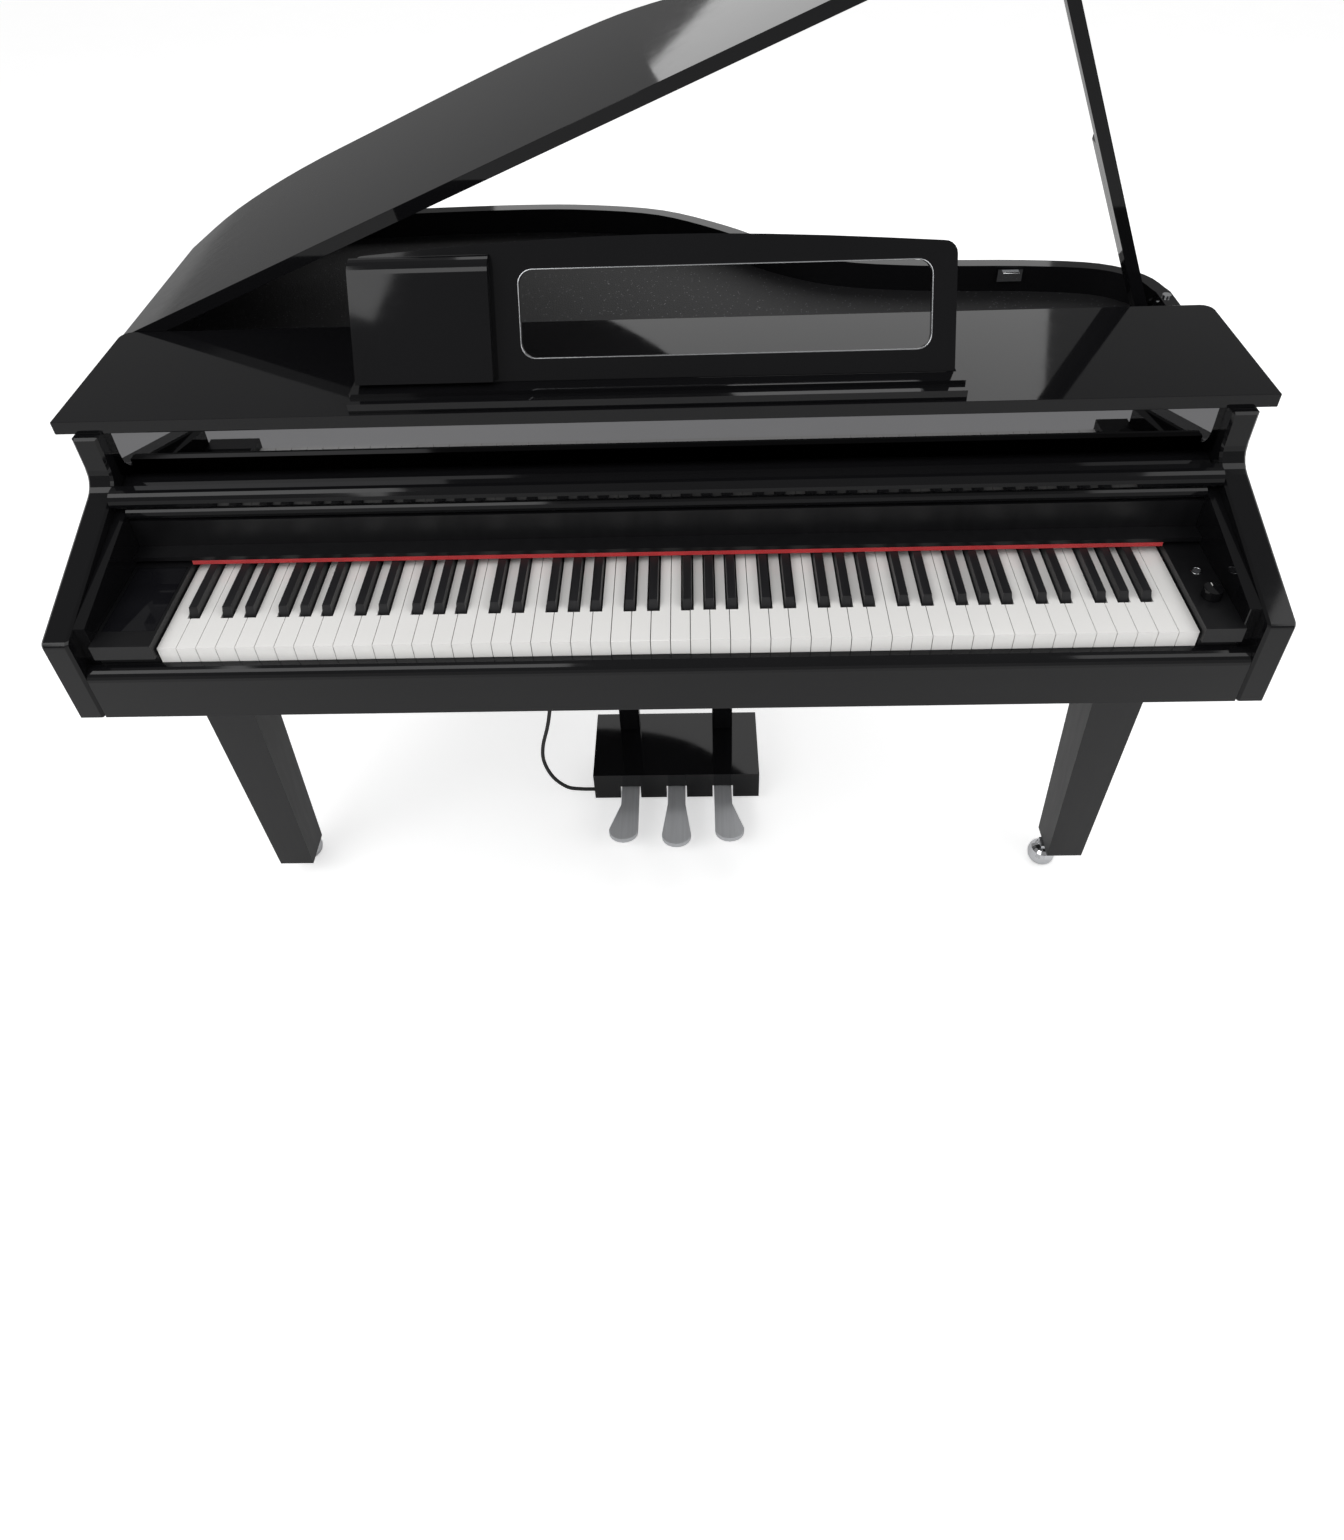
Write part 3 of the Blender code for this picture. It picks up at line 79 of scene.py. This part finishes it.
# Pedal cable from the jack under the case to the pedal box
CABLE_ROUTE = (
    (-0.170, 0.300, 0.6347),
    (-0.172, 0.300, 0.560),
    (-0.180, 0.300, 0.450),
    (-0.194, 0.300, 0.335),
    (-0.210, 0.301, 0.238),
    (-0.226, 0.303, 0.173),
    (-0.229, 0.305, 0.128),
    (-0.218, 0.308, 0.081),
    (-0.196, 0.310, 0.050),
    (-0.172, 0.312, 0.041),
    (-0.1463, 0.312, 0.040),
)
CABLE_RADIUS = 0.0032

# Camera fitted to the photograph, in pixels of its 1344 x 1540 frame
FRAME_WIDTH = 1344
FRAME_HEIGHT = 1540
FOCAL_PIXELS = 1086
AXIS_PIXEL = (666, 505)
CAMERA_PLACE = Vector((0.052, -0.895, 1.650))
CAMERA_PITCH = math.radians(38.5)
CAMERA_YAW = math.radians(2.3)
CAMERA_ROLL = math.radians(2.6)
SENSOR = 36.0
FLOOR_GLOW = 0.50
OWN_FINISH = {"nameboard": "smoked_mirror", "desk_pod": "gloss_lacquer"}


class PIANO_finish_settings(bpy.types.PropertyGroup):
    """Colours of the piano's finishes."""

    lacquer: FloatVectorProperty(
        name="Lacquer", description="Colour of the case", subtype="COLOR", size=3, default=(0.004, 0.004, 0.0045)
    )
    white_key: FloatVectorProperty(
        name="White keys", description="Colour of the white keys", subtype="COLOR", size=3, default=(0.93, 0.92, 0.90)
    )
    felt: FloatVectorProperty(
        name="Felt", description="Colour of the key felt", subtype="COLOR", size=3, default=(0.72, 0.006, 0.012)
    )
    mirror: FloatVectorProperty(
        name="Mirror", description="Colour of the smoked mirror behind the keys", subtype="COLOR", size=3,
        default=(0.20, 0.20, 0.205),
    )
    pedal: FloatVectorProperty(
        name="Pedals", description="Colour of the pedal metal", subtype="COLOR", size=3, default=(0.60, 0.61, 0.63)
    )


class PIANO_trim_settings(bpy.types.PropertyGroup):
    """Sizes of the small trim."""

    window_bead: FloatProperty(
        name="Window bead", description="Radius of the bright bead round the desk window",
        default=0.0008, min=0.0003, max=0.003, unit="LENGTH",
    )
    button_ring: FloatProperty(
        name="Button ring", description="Radius of the ring round the power button",
        default=0.0060, min=0.005, max=0.008, unit="LENGTH",
    )
    screw_count: IntProperty(
        name="Hinge screws", description="How many screws hold the lid hinge", default=9, min=2, max=20
    )
    screw_radius: FloatProperty(
        name="Screw radius", description="Radius of a hinge screw's head",
        default=0.0028, min=0.001, max=0.005, unit="LENGTH",
    )


class Field:
    """A number that varies over a surface; arithmetic on it adds Math nodes."""

    def __init__(self, tree, socket):
        self.tree = tree
        self.socket = socket

    def combine(self, operation, first, second):
        node = self.tree.nodes.new("ShaderNodeMath")
        node.operation = operation
        for slot, value in zip(node.inputs, (first, second)):
            if isinstance(value, Field):
                self.tree.links.new(value.socket, slot)
            else:
                slot.default_value = value
        return Field(self.tree, node.outputs[0])

    def __add__(self, other):
        return self.combine("ADD", self, other)

    def __radd__(self, other):
        return self.combine("ADD", other, self)

    def __sub__(self, other):
        return self.combine("SUBTRACT", self, other)

    def __rsub__(self, other):
        return self.combine("SUBTRACT", other, self)

    def __mul__(self, other):
        return self.combine("MULTIPLY", self, other)

    def __rmul__(self, other):
        return self.combine("MULTIPLY", other, self)

    def above(self, level):
        return self.combine("GREATER_THAN", self, level)


class Finish:
    """A material on Object coordinates, with its Principled shader."""

    def __init__(self, name, roughness, metallic=0.0, coat=0.0, shine=0.5):
        self.material = bpy.data.materials.new(name)
        self.material.use_nodes = True
        self.tree = self.material.node_tree
        self.shader = self.tree.nodes["Principled BSDF"]
        self.shader.inputs["Roughness"].default_value = roughness
        self.shader.inputs["Metallic"].default_value = metallic
        self.shader.inputs["Coat Weight"].default_value = coat
        self.shader.inputs["Coat Roughness"].default_value = 0.03
        self.shader.inputs["Specular IOR Level"].default_value = shine

    def node(self, kind, settings=None, values=None):
        """Adds a node, sets what it is, and then its sockets' values or links."""
        made = self.tree.nodes.new(kind)
        for key, value in (settings or {}).items():
            setattr(made, key, value)
        for key, value in (values or {}).items():
            if isinstance(value, Field):
                value = value.socket
            if isinstance(value, bpy.types.NodeSocket):
                self.tree.links.new(value, made.inputs[key])
            else:
                made.inputs[key].default_value = value
        return made

    def place(self, stretch=(1.0, 1.0, 1.0)):
        """Object coordinates, stretched along the axes."""
        where = self.node("ShaderNodeTexCoord").outputs["Object"]
        return self.node("ShaderNodeMapping", values={"Vector": where, "Scale": stretch}).outputs["Vector"]

    def noise(self, scale, detail=3.0, stretch=(1.0, 1.0, 1.0)):
        values = {"Vector": self.place(stretch), "Scale": scale, "Detail": detail}
        return Field(self.tree, self.node("ShaderNodeTexNoise", values=values).outputs[0])

    def specks(self, scale):
        """A value that is high only near scattered points."""
        values = {"Vector": self.place(), "Scale": scale}
        return 1.0 - Field(self.tree, self.node("ShaderNodeTexVoronoi", values=values).outputs["Distance"])

    def colour(self, factor, low, high):
        mix = self.node("ShaderNodeMix", {"data_type": "RGBA"})
        self.tree.links.new(factor.socket, mix.inputs[0])
        mix.inputs[6].default_value = (*low, 1.0)
        mix.inputs[7].default_value = (*high, 1.0)
        self.tree.links.new(mix.outputs[2], self.shader.inputs["Base Color"])
        return self

    def vary(self, name, field):
        self.tree.links.new(field.socket, self.shader.inputs[name])
        return self

    def bump(self, height, distance, strength=1.0):
        values = {"Height": height, "Distance": distance, "Strength": strength}
        bump = self.node("ShaderNodeBump", values=values)
        self.tree.links.new(bump.outputs["Normal"], self.shader.inputs["Normal"])
        return self


def shaded(colour, factor):
    return tuple(min(1.0, c * factor) for c in colour)


def gloss_lacquer(settings):
    """Polished black lacquer with the faint wave of a polished coat."""
    finish = Finish("piano_lacquer", 0.06, shine=0.30)
    wave = finish.noise(3.0)
    haze = finish.noise(60.0, 4.0)
    finish.colour(wave, settings.lacquer, shaded(settings.lacquer, 1.6))
    return finish.vary("Roughness", haze * 0.05 + 0.03).bump(wave, 0.0015, 0.15)


def satin_lacquer(settings):
    """Satin black lacquer with a fine open grain."""
    finish = Finish("satin_lacquer", 0.38, shine=0.35)
    grain = finish.noise(90.0, 5.0, (1.0, 1.0, 0.12))
    finish.colour(grain, shaded(settings.lacquer, 1.2), shaded(settings.lacquer, 2.2))
    return finish.vary("Roughness", grain * 0.14 + 0.30).bump(grain, 0.0003, 0.4)


def mirror_panel(settings):
    """Smoked mirror behind the keys, which shows them dimly."""
    finish = Finish("smoked_mirror", 0.02, 1.0)
    tint = finish.noise(2.0)
    finish.colour(tint, shaded(settings.mirror, 0.92), settings.mirror)
    return finish.vary("Roughness", tint * 0.02 + 0.005)


def textured_board(settings):
    """Black board with a pebbled coat, whose scattered specks are glossier and painted lighter as a painted glint."""
    finish = Finish("pebbled_board", 0.6)
    pebble = finish.noise(420.0, 3.0)
    glint_painted_and_glossy = finish.specks(160.0).above(0.88)
    # The specks' lighter base colour is a painted glint; their lower roughness below gives real glints.
    finish.colour(glint_painted_and_glossy, shaded(settings.lacquer, 2.0), (0.10, 0.10, 0.11))
    return finish.vary("Roughness", 0.65 - 0.35 * glint_painted_and_glossy).bump(pebble, 0.0006)


def white_key(settings):
    finish = Finish("white_key_plastic", 0.22, coat=0.25)
    tone = finish.noise(14.0)
    finish.colour(tone, shaded(settings.white_key, 0.96), settings.white_key)
    return finish.vary("Roughness", tone * 0.10 + 0.18).bump(finish.noise(300.0), 0.0001, 0.15)


def black_key(settings):
    finish = Finish("black_key_plastic", 0.42)
    grain = finish.noise(110.0, 4.0, (1.0, 0.08, 1.0))
    finish.colour(grain, shaded(settings.lacquer, 2.0), shaded(settings.lacquer, 4.5))
    return finish.vary("Roughness", grain * 0.16 + 0.34).bump(grain, 0.0002, 0.35)


def felt(settings):
    finish = Finish("key_felt_wool", 0.95)
    fibre = finish.noise(900.0, 5.0, (1.0, 3.0, 3.0))
    finish.colour(fibre, shaded(settings.felt, 0.6), settings.felt)
    finish.shader.inputs["Sheen Weight"].default_value = 0.4
    return finish.bump(fibre, 0.0006)


def chrome(settings):
    finish = Finish("bright_chrome", 0.10, 1.0)
    smear = finish.noise(45.0, 4.0)
    finish.colour(smear, (0.70, 0.71, 0.73), (0.82, 0.83, 0.85))
    return finish.vary("Roughness", smear * 0.10 + 0.06)


def pedal_metal(settings):
    finish = Finish("satin_pedal_metal", 0.30, 0.45)
    brush = finish.noise(240.0, 4.0, (1.0, 0.04, 1.0))
    finish.colour(brush, shaded(settings.pedal, 0.85), shaded(settings.pedal, 1.15))
    return finish.vary("Roughness", brush * 0.18 + 0.24).bump(brush, 0.00015, 0.5)


def rubber(settings):
    finish = Finish("black_rubber", 0.7)
    grain = finish.noise(500.0)
    finish.colour(grain, (0.012, 0.012, 0.012), (0.030, 0.030, 0.030))
    return finish.vary("Roughness", grain * 0.2 + 0.55).bump(grain, 0.0003, 0.5)


def dark_glass(settings):
    finish = Finish("touch_glass", 0.05, coat=0.1, shine=0.20)
    depth = finish.noise(20.0)
    finish.colour(depth, (0.004, 0.004, 0.005), (0.010, 0.010, 0.012))
    return finish.vary("Roughness", depth * 0.03 + 0.03)


def grey_plastic(settings):
    finish = Finish("moulded_plastic", 0.5)
    grain = finish.noise(350.0)
    finish.colour(grain, (0.045, 0.045, 0.050), (0.075, 0.075, 0.080))
    return finish.vary("Roughness", grain * 0.15 + 0.45).bump(grain, 0.0002, 0.5)


def circuit(settings):
    finish = Finish("circuit_board_green", 0.45)
    traces = finish.noise(220.0, 1.0).above(0.55)
    finish.colour(traces, (0.004, 0.060, 0.020), (0.012, 0.140, 0.050))
    return finish.vary("Roughness", 0.5 - 0.15 * traces)


FINISHES = {
    "gloss_lacquer": gloss_lacquer,
    "satin_lacquer": satin_lacquer,
    "textured_board": textured_board,
    "white_key": white_key,
    "black_key": black_key,
    "red_felt": felt,
    "chrome": chrome,
    "pedal_metal": pedal_metal,
    "rubber": rubber,
    "dark_glass": dark_glass,
    "grey_plastic": grey_plastic,
    "circuit": circuit,
    "smoked_mirror": mirror_panel,
}
READY = {}


def ready(slot):
    """The material of one slot of the record, made once."""
    if slot not in READY:
        READY[slot] = FINISHES[slot](bpy.context.scene.piano_finish).material
    return READY[slot]


def bead(name, points, radius, closed, slot):
    """A round bead along points, as a mesh."""
    curve = bpy.data.curves.new(name, "CURVE")
    curve.dimensions = "3D"
    curve.bevel_depth = radius
    curve.bevel_resolution = 3
    curve.use_fill_caps = True
    spline = curve.splines.new("POLY")
    spline.points.add(len(points) - 1)
    for point, place in zip(spline.points, points):
        point.co = (*place, 1.0)
    spline.use_cyclic_u = closed
    drawn = bpy.data.objects.new(name + "_line", curve)
    bpy.context.scene.collection.objects.link(drawn)
    graph = bpy.context.evaluated_depsgraph_get()
    mesh = bpy.data.meshes.new_from_object(drawn.evaluated_get(graph))
    bpy.data.objects.remove(drawn)
    bpy.data.curves.remove(curve)
    return piece(name, mesh, slot)


def piece(name, mesh, slot):
    mesh.materials.clear()
    mesh.materials.append(ready(slot))
    mesh.shade_smooth()
    obj = bpy.data.objects.new(name, mesh)
    bpy.context.scene.collection.objects.link(obj)
    return obj


def arc(cx, cy, radius, start, end, steps):
    angles = [math.radians(start + (end - start) * i / steps) for i in range(steps + 1)]
    return [(cx + radius * math.cos(a), cy + radius * math.sin(a)) for a in angles]


class PIANO_OT_finishes(bpy.types.Operator):
    """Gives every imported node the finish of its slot."""

    bl_idname = "piano.finishes"
    bl_label = "Finishes"

    def execute(self, context):
        for entry in frame["record"]["subparts"]:
            node = frame["nodes"][entry["node"]]
            node.data.materials.clear()
            node.data.materials.append(ready(OWN_FINISH.get(entry["node"], entry["material_slot"])))
        return {"FINISHED"}


class PIANO_OT_pedal_cable(bpy.types.Operator):
    """Hangs the pedal cable from the case to the pedal box."""

    bl_idname = "piano.pedal_cable"
    bl_label = "Pedal cable"

    def execute(self, context):
        curve = bpy.data.curves.new("pedal_cable_flex", "CURVE")
        curve.dimensions = "3D"
        curve.bevel_depth = CABLE_RADIUS
        curve.bevel_resolution = 4
        curve.use_fill_caps = True
        path = smooth(CABLE_ROUTE, 5)
        spline = curve.splines.new("POLY")
        spline.points.add(len(path) - 1)
        for point, place in zip(spline.points, path):
            point.co = (*(place + MIDDLE), 1.0)
        spline.use_smooth = True
        curve.materials.append(ready("rubber"))
        cable = bpy.data.objects.new("pedal_cable_flex", curve)
        context.scene.collection.objects.link(cable)
        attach(cable, "case")
        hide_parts("pedal_cable")
        return {"FINISHED"}


def smooth(points, steps):
    """A Catmull-Rom curve through the points, ends included."""
    spots = [Vector(p) for p in points]
    spots = [2 * spots[0] - spots[1]] + spots + [2 * spots[-1] - spots[-2]]
    path = []
    for a, b, c, d in zip(spots, spots[1:], spots[2:], spots[3:]):
        for i in range(steps):
            t = i / steps
            square = (2 * a - 5 * b + 4 * c - d) * t**2
            cube = (3 * b - a - 3 * c + d) * t**3
            path.append(0.5 * (2 * b + (c - a) * t + square + cube))
    path.append(spots[-2])
    return path


class PIANO_OT_desk_window(bpy.types.Operator):
    """Runs a bright bead round the window of the music desk."""

    bl_idname = "piano.desk_window"
    bl_label = "Desk window bead"

    def execute(self, context):
        trim = context.scene.piano_trim
        r = WINDOW_CORNER
        corners = (
            (WINDOW_RIGHT - r, WINDOW_TOP - r, 0),
            (WINDOW_LEFT + r, WINDOW_TOP - r, 90),
            (WINDOW_LEFT + r, WINDOW_BOTTOM + r, 180),
            (WINDOW_RIGHT - r, WINDOW_BOTTOM + r, 270),
        )
        flat = [p for x, y, start in corners for p in arc(x, y, r, start, start + 90, 8)]
        turn = Matrix.Translation(DESK_PIVOT + MIDDLE) @ Matrix.Rotation(DESK_TURN, 4, "X")
        points = [turn @ Vector((x, y, DESK_FACE)) for x, y in flat]
        ring = bead("desk_window_bead", points, trim.window_bead, True, "chrome")
        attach(ring, "desk")
        return {"FINISHED"}


class PIANO_OT_controls(bpy.types.Operator):
    """Rings the power button and marks the volume knob."""

    bl_idname = "piano.controls"
    bl_label = "Control trim"

    def execute(self, context):
        trim = context.scene.piano_trim
        middle = BUTTON + MIDDLE
        circle = arc(middle.x, middle.y, trim.button_ring, 0, 345, 23)
        ring = bead("power_button_ring", [(x, y, middle.z + 0.0004) for x, y in circle], 0.0006, True, "chrome")
        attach(ring, "case")
        centre = KNOB + MIDDLE
        line = [(centre.x, centre.y + y, centre.z + KNOB_TOP + 0.0001) for y in (0.004, 0.009)]
        mark = bead("volume_knob_mark", line, 0.0005, False, "white_key")
        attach(mark, "knob")
        return {"FINISHED"}


class PIANO_OT_hinge_screws(bpy.types.Operator):
    """Sets the row of screws in the lid hinge with Geometry Nodes."""

    bl_idname = "piano.hinge_screws"
    bl_label = "Hinge screws"

    def execute(self, context):
        trim = context.scene.piano_trim
        mesh = bpy.data.meshes.new("lid_hinge_screws")
        holder = bpy.data.objects.new("lid_hinge_screws_row", mesh)
        context.scene.collection.objects.link(holder)
        tree, inputs = screw_tree(ready("chrome"))
        modifier = holder.modifiers.new("screws", "NODES")
        modifier.node_group = tree
        modifier[inputs["Count"]] = trim.screw_count
        modifier[inputs["Radius"]] = trim.screw_radius
        modifier[inputs["Height"]] = trim.screw_radius * 0.5
        graph = context.evaluated_depsgraph_get()
        made = bpy.data.meshes.new_from_object(holder.evaluated_get(graph))
        holder.modifiers.remove(modifier)
        bpy.data.objects.remove(holder)
        turn = Matrix.Rotation(-math.pi / 2, 4, "Y")
        start = Vector((HINGE_X, HINGE_FRONT, HINGE_LEVEL)) + MIDDLE
        made.transform(Matrix.Translation(start) @ turn)
        screws = piece("lid_hinge_screws", made, "chrome")
        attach(screws, "case")
        return {"FINISHED"}


def screw_tree(material):
    """A tree that stands domed screw heads along a line, and its inputs' identifiers."""
    tree = bpy.data.node_groups.new("screw_row", "GeometryNodeTree")
    tree.interface.new_socket("Geometry", in_out="OUTPUT", socket_type="NodeSocketGeometry")
    inputs = {}
    for name, kind in (("Count", "NodeSocketInt"), ("Radius", "NodeSocketFloat"), ("Height", "NodeSocketFloat")):
        inputs[name] = tree.interface.new_socket(name, in_out="INPUT", socket_type=kind).identifier
    given = tree.nodes.new("NodeGroupInput")
    line = tree.nodes.new("GeometryNodeMeshLine")
    line.inputs["Offset"].default_value = (0.0, 0.028, 0.0)
    head = tree.nodes.new("GeometryNodeMeshCone")
    head.inputs["Vertices"].default_value = 16
    narrower = tree.nodes.new("ShaderNodeMath")
    narrower.operation = "MULTIPLY"
    narrower.inputs[1].default_value = 0.7
    spread = tree.nodes.new("GeometryNodeInstanceOnPoints")
    real = tree.nodes.new("GeometryNodeRealizeInstances")
    dress = tree.nodes.new("GeometryNodeSetMaterial")
    dress.inputs["Material"].default_value = material
    out = tree.nodes.new("NodeGroupOutput")
    link = tree.links.new
    link(given.outputs["Count"], line.inputs["Count"])
    link(given.outputs["Radius"], head.inputs["Radius Bottom"])
    link(given.outputs["Radius"], narrower.inputs[0])
    link(narrower.outputs[0], head.inputs["Radius Top"])
    link(given.outputs["Height"], head.inputs["Depth"])
    link(line.outputs["Mesh"], spread.inputs["Points"])
    link(head.outputs["Mesh"], spread.inputs["Instance"])
    link(spread.outputs["Instances"], real.inputs["Geometry"])
    link(real.outputs["Geometry"], dress.inputs["Geometry"])
    link(dress.outputs["Geometry"], out.inputs["Geometry"])
    return tree, inputs


class PIANO_OT_stage(bpy.types.Operator):
    """Lays the floor and sets the lamps, the world and the camera."""

    bl_idname = "piano.stage"
    bl_label = "Stage"

    def execute(self, context):
        scene = context.scene
        mesh = bpy.data.meshes.new("studio_floor")
        half = 30.0
        level = -0.0005
        corners = [(-half, -half, level), (half, -half, level), (half, half, level), (-half, half, level)]
        mesh.from_pydata(corners, [], [(0, 1, 2, 3)])
        floor = bpy.data.objects.new("studio_floor", mesh)
        floor.data.materials.append(floor_paint())
        scene.collection.objects.link(floor)

        lamps = (
            ("key_lamp", (-1.6, -1.8, 3.2), 2.2, 42.0),
            ("fill_lamp", (2.2, -1.2, 2.6), 2.0, 22.0),
            ("back_lamp", (0.3, 2.6, 2.8), 2.4, 26.0),
        )
        for name, place, size, power in lamps:
            light = bpy.data.lights.new(name, "AREA")
            light.size = size
            light.energy = power
            lamp = bpy.data.objects.new(name, light)
            lamp.location = place
            aim = Vector((0.0, 0.0, 0.8)) - Vector(place)
            lamp.rotation_euler = aim.to_track_quat("-Z", "Y").to_euler()
            scene.collection.objects.link(lamp)

        world = bpy.data.worlds.new("studio_world")
        scene.world = world
        world.use_nodes = True
        tree = world.node_tree
        sky = tree.nodes["Background"]
        sky.inputs["Color"].default_value = (1.0, 1.0, 1.0, 1.0)
        rays = tree.nodes.new("ShaderNodeLightPath")
        seen = Field(tree, rays.outputs["Is Camera Ray"]) + Field(tree, rays.outputs["Is Transmission Ray"])
        mirrored = Field(tree, rays.outputs["Is Glossy Ray"])
        level = seen.combine("MINIMUM", seen, 1.0) * 0.45 + 0.55 + mirrored * -0.30
        tree.links.new(level.socket, sky.inputs["Strength"])
        scene.view_settings.view_transform = "Standard"

        camera = bpy.data.cameras.new("photo_camera")
        camera.sensor_width = SENSOR
        camera.lens = FOCAL_PIXELS / FRAME_HEIGHT * SENSOR
        camera.shift_x = (FRAME_WIDTH / 2 - AXIS_PIXEL[0]) / FRAME_HEIGHT
        camera.shift_y = -(FRAME_HEIGHT / 2 - AXIS_PIXEL[1]) / FRAME_HEIGHT
        viewer = bpy.data.objects.new("photo_camera", camera)
        turn = (
            Matrix.Rotation(CAMERA_YAW, 4, "Z")
            @ Matrix.Rotation(math.pi / 2 - CAMERA_PITCH, 4, "X")
            @ Matrix.Rotation(-CAMERA_ROLL, 4, "Z")
        )
        viewer.matrix_world = Matrix.Translation(CAMERA_PLACE + MIDDLE) @ turn
        scene.collection.objects.link(viewer)
        scene.camera = viewer
        return {"FINISHED"}


def floor_paint():
    """Pale floor: it takes shadows, and shows white to the camera where it is lit."""
    finish = Finish("pale_floor", 0.8)
    tone = finish.noise(6.0)
    finish.colour(tone, (0.86, 0.86, 0.86), (0.90, 0.90, 0.90))
    rays = finish.node("ShaderNodeLightPath")
    seen = Field(finish.tree, rays.outputs["Is Camera Ray"])
    finish.shader.inputs["Emission Color"].default_value = (1.0, 1.0, 1.0, 1.0)
    finish.vary("Emission Strength", seen * FLOOR_GLOW)
    return finish.material


OPERATORS = (
    PIANO_OT_stage,
    PIANO_OT_pedal_cable,
    PIANO_OT_finishes,
    PIANO_OT_desk_window,
    PIANO_OT_controls,
    PIANO_OT_hinge_screws,
)


class PIANO_PT_panel(bpy.types.Panel):
    """Lists the piano's steps and settings in the sidebar."""

    bl_idname = "PIANO_PT_panel"
    bl_label = "Piano"
    bl_space_type = "VIEW_3D"
    bl_region_type = "UI"
    bl_category = "Piano"

    def draw(self, context):
        for group in (context.scene.piano_finish, context.scene.piano_trim):
            for name in group.bl_rna.properties.keys():
                if name not in ("rna_type", "name"):
                    self.layout.prop(group, name)
        for operator in OPERATORS:
            self.layout.operator(operator.bl_idname)


CLASSES = (PIANO_finish_settings, PIANO_trim_settings, *OPERATORS, PIANO_PT_panel)


def register():
    for cls in CLASSES:
        bpy.utils.register_class(cls)
    bpy.types.Scene.piano_finish = PointerProperty(type=PIANO_finish_settings)
    bpy.types.Scene.piano_trim = PointerProperty(type=PIANO_trim_settings)


def unregister():
    del bpy.types.Scene.piano_trim
    del bpy.types.Scene.piano_finish
    for cls in reversed(CLASSES):
        bpy.utils.unregister_class(cls)


def main():
    register()
    bpy.ops.piano.stage()
    bpy.ops.piano.pedal_cable()
    bpy.ops.piano.finishes()
    bpy.ops.piano.desk_window()
    bpy.ops.piano.controls()
    bpy.ops.piano.hinge_screws()


if __name__ == "__main__":
    main()
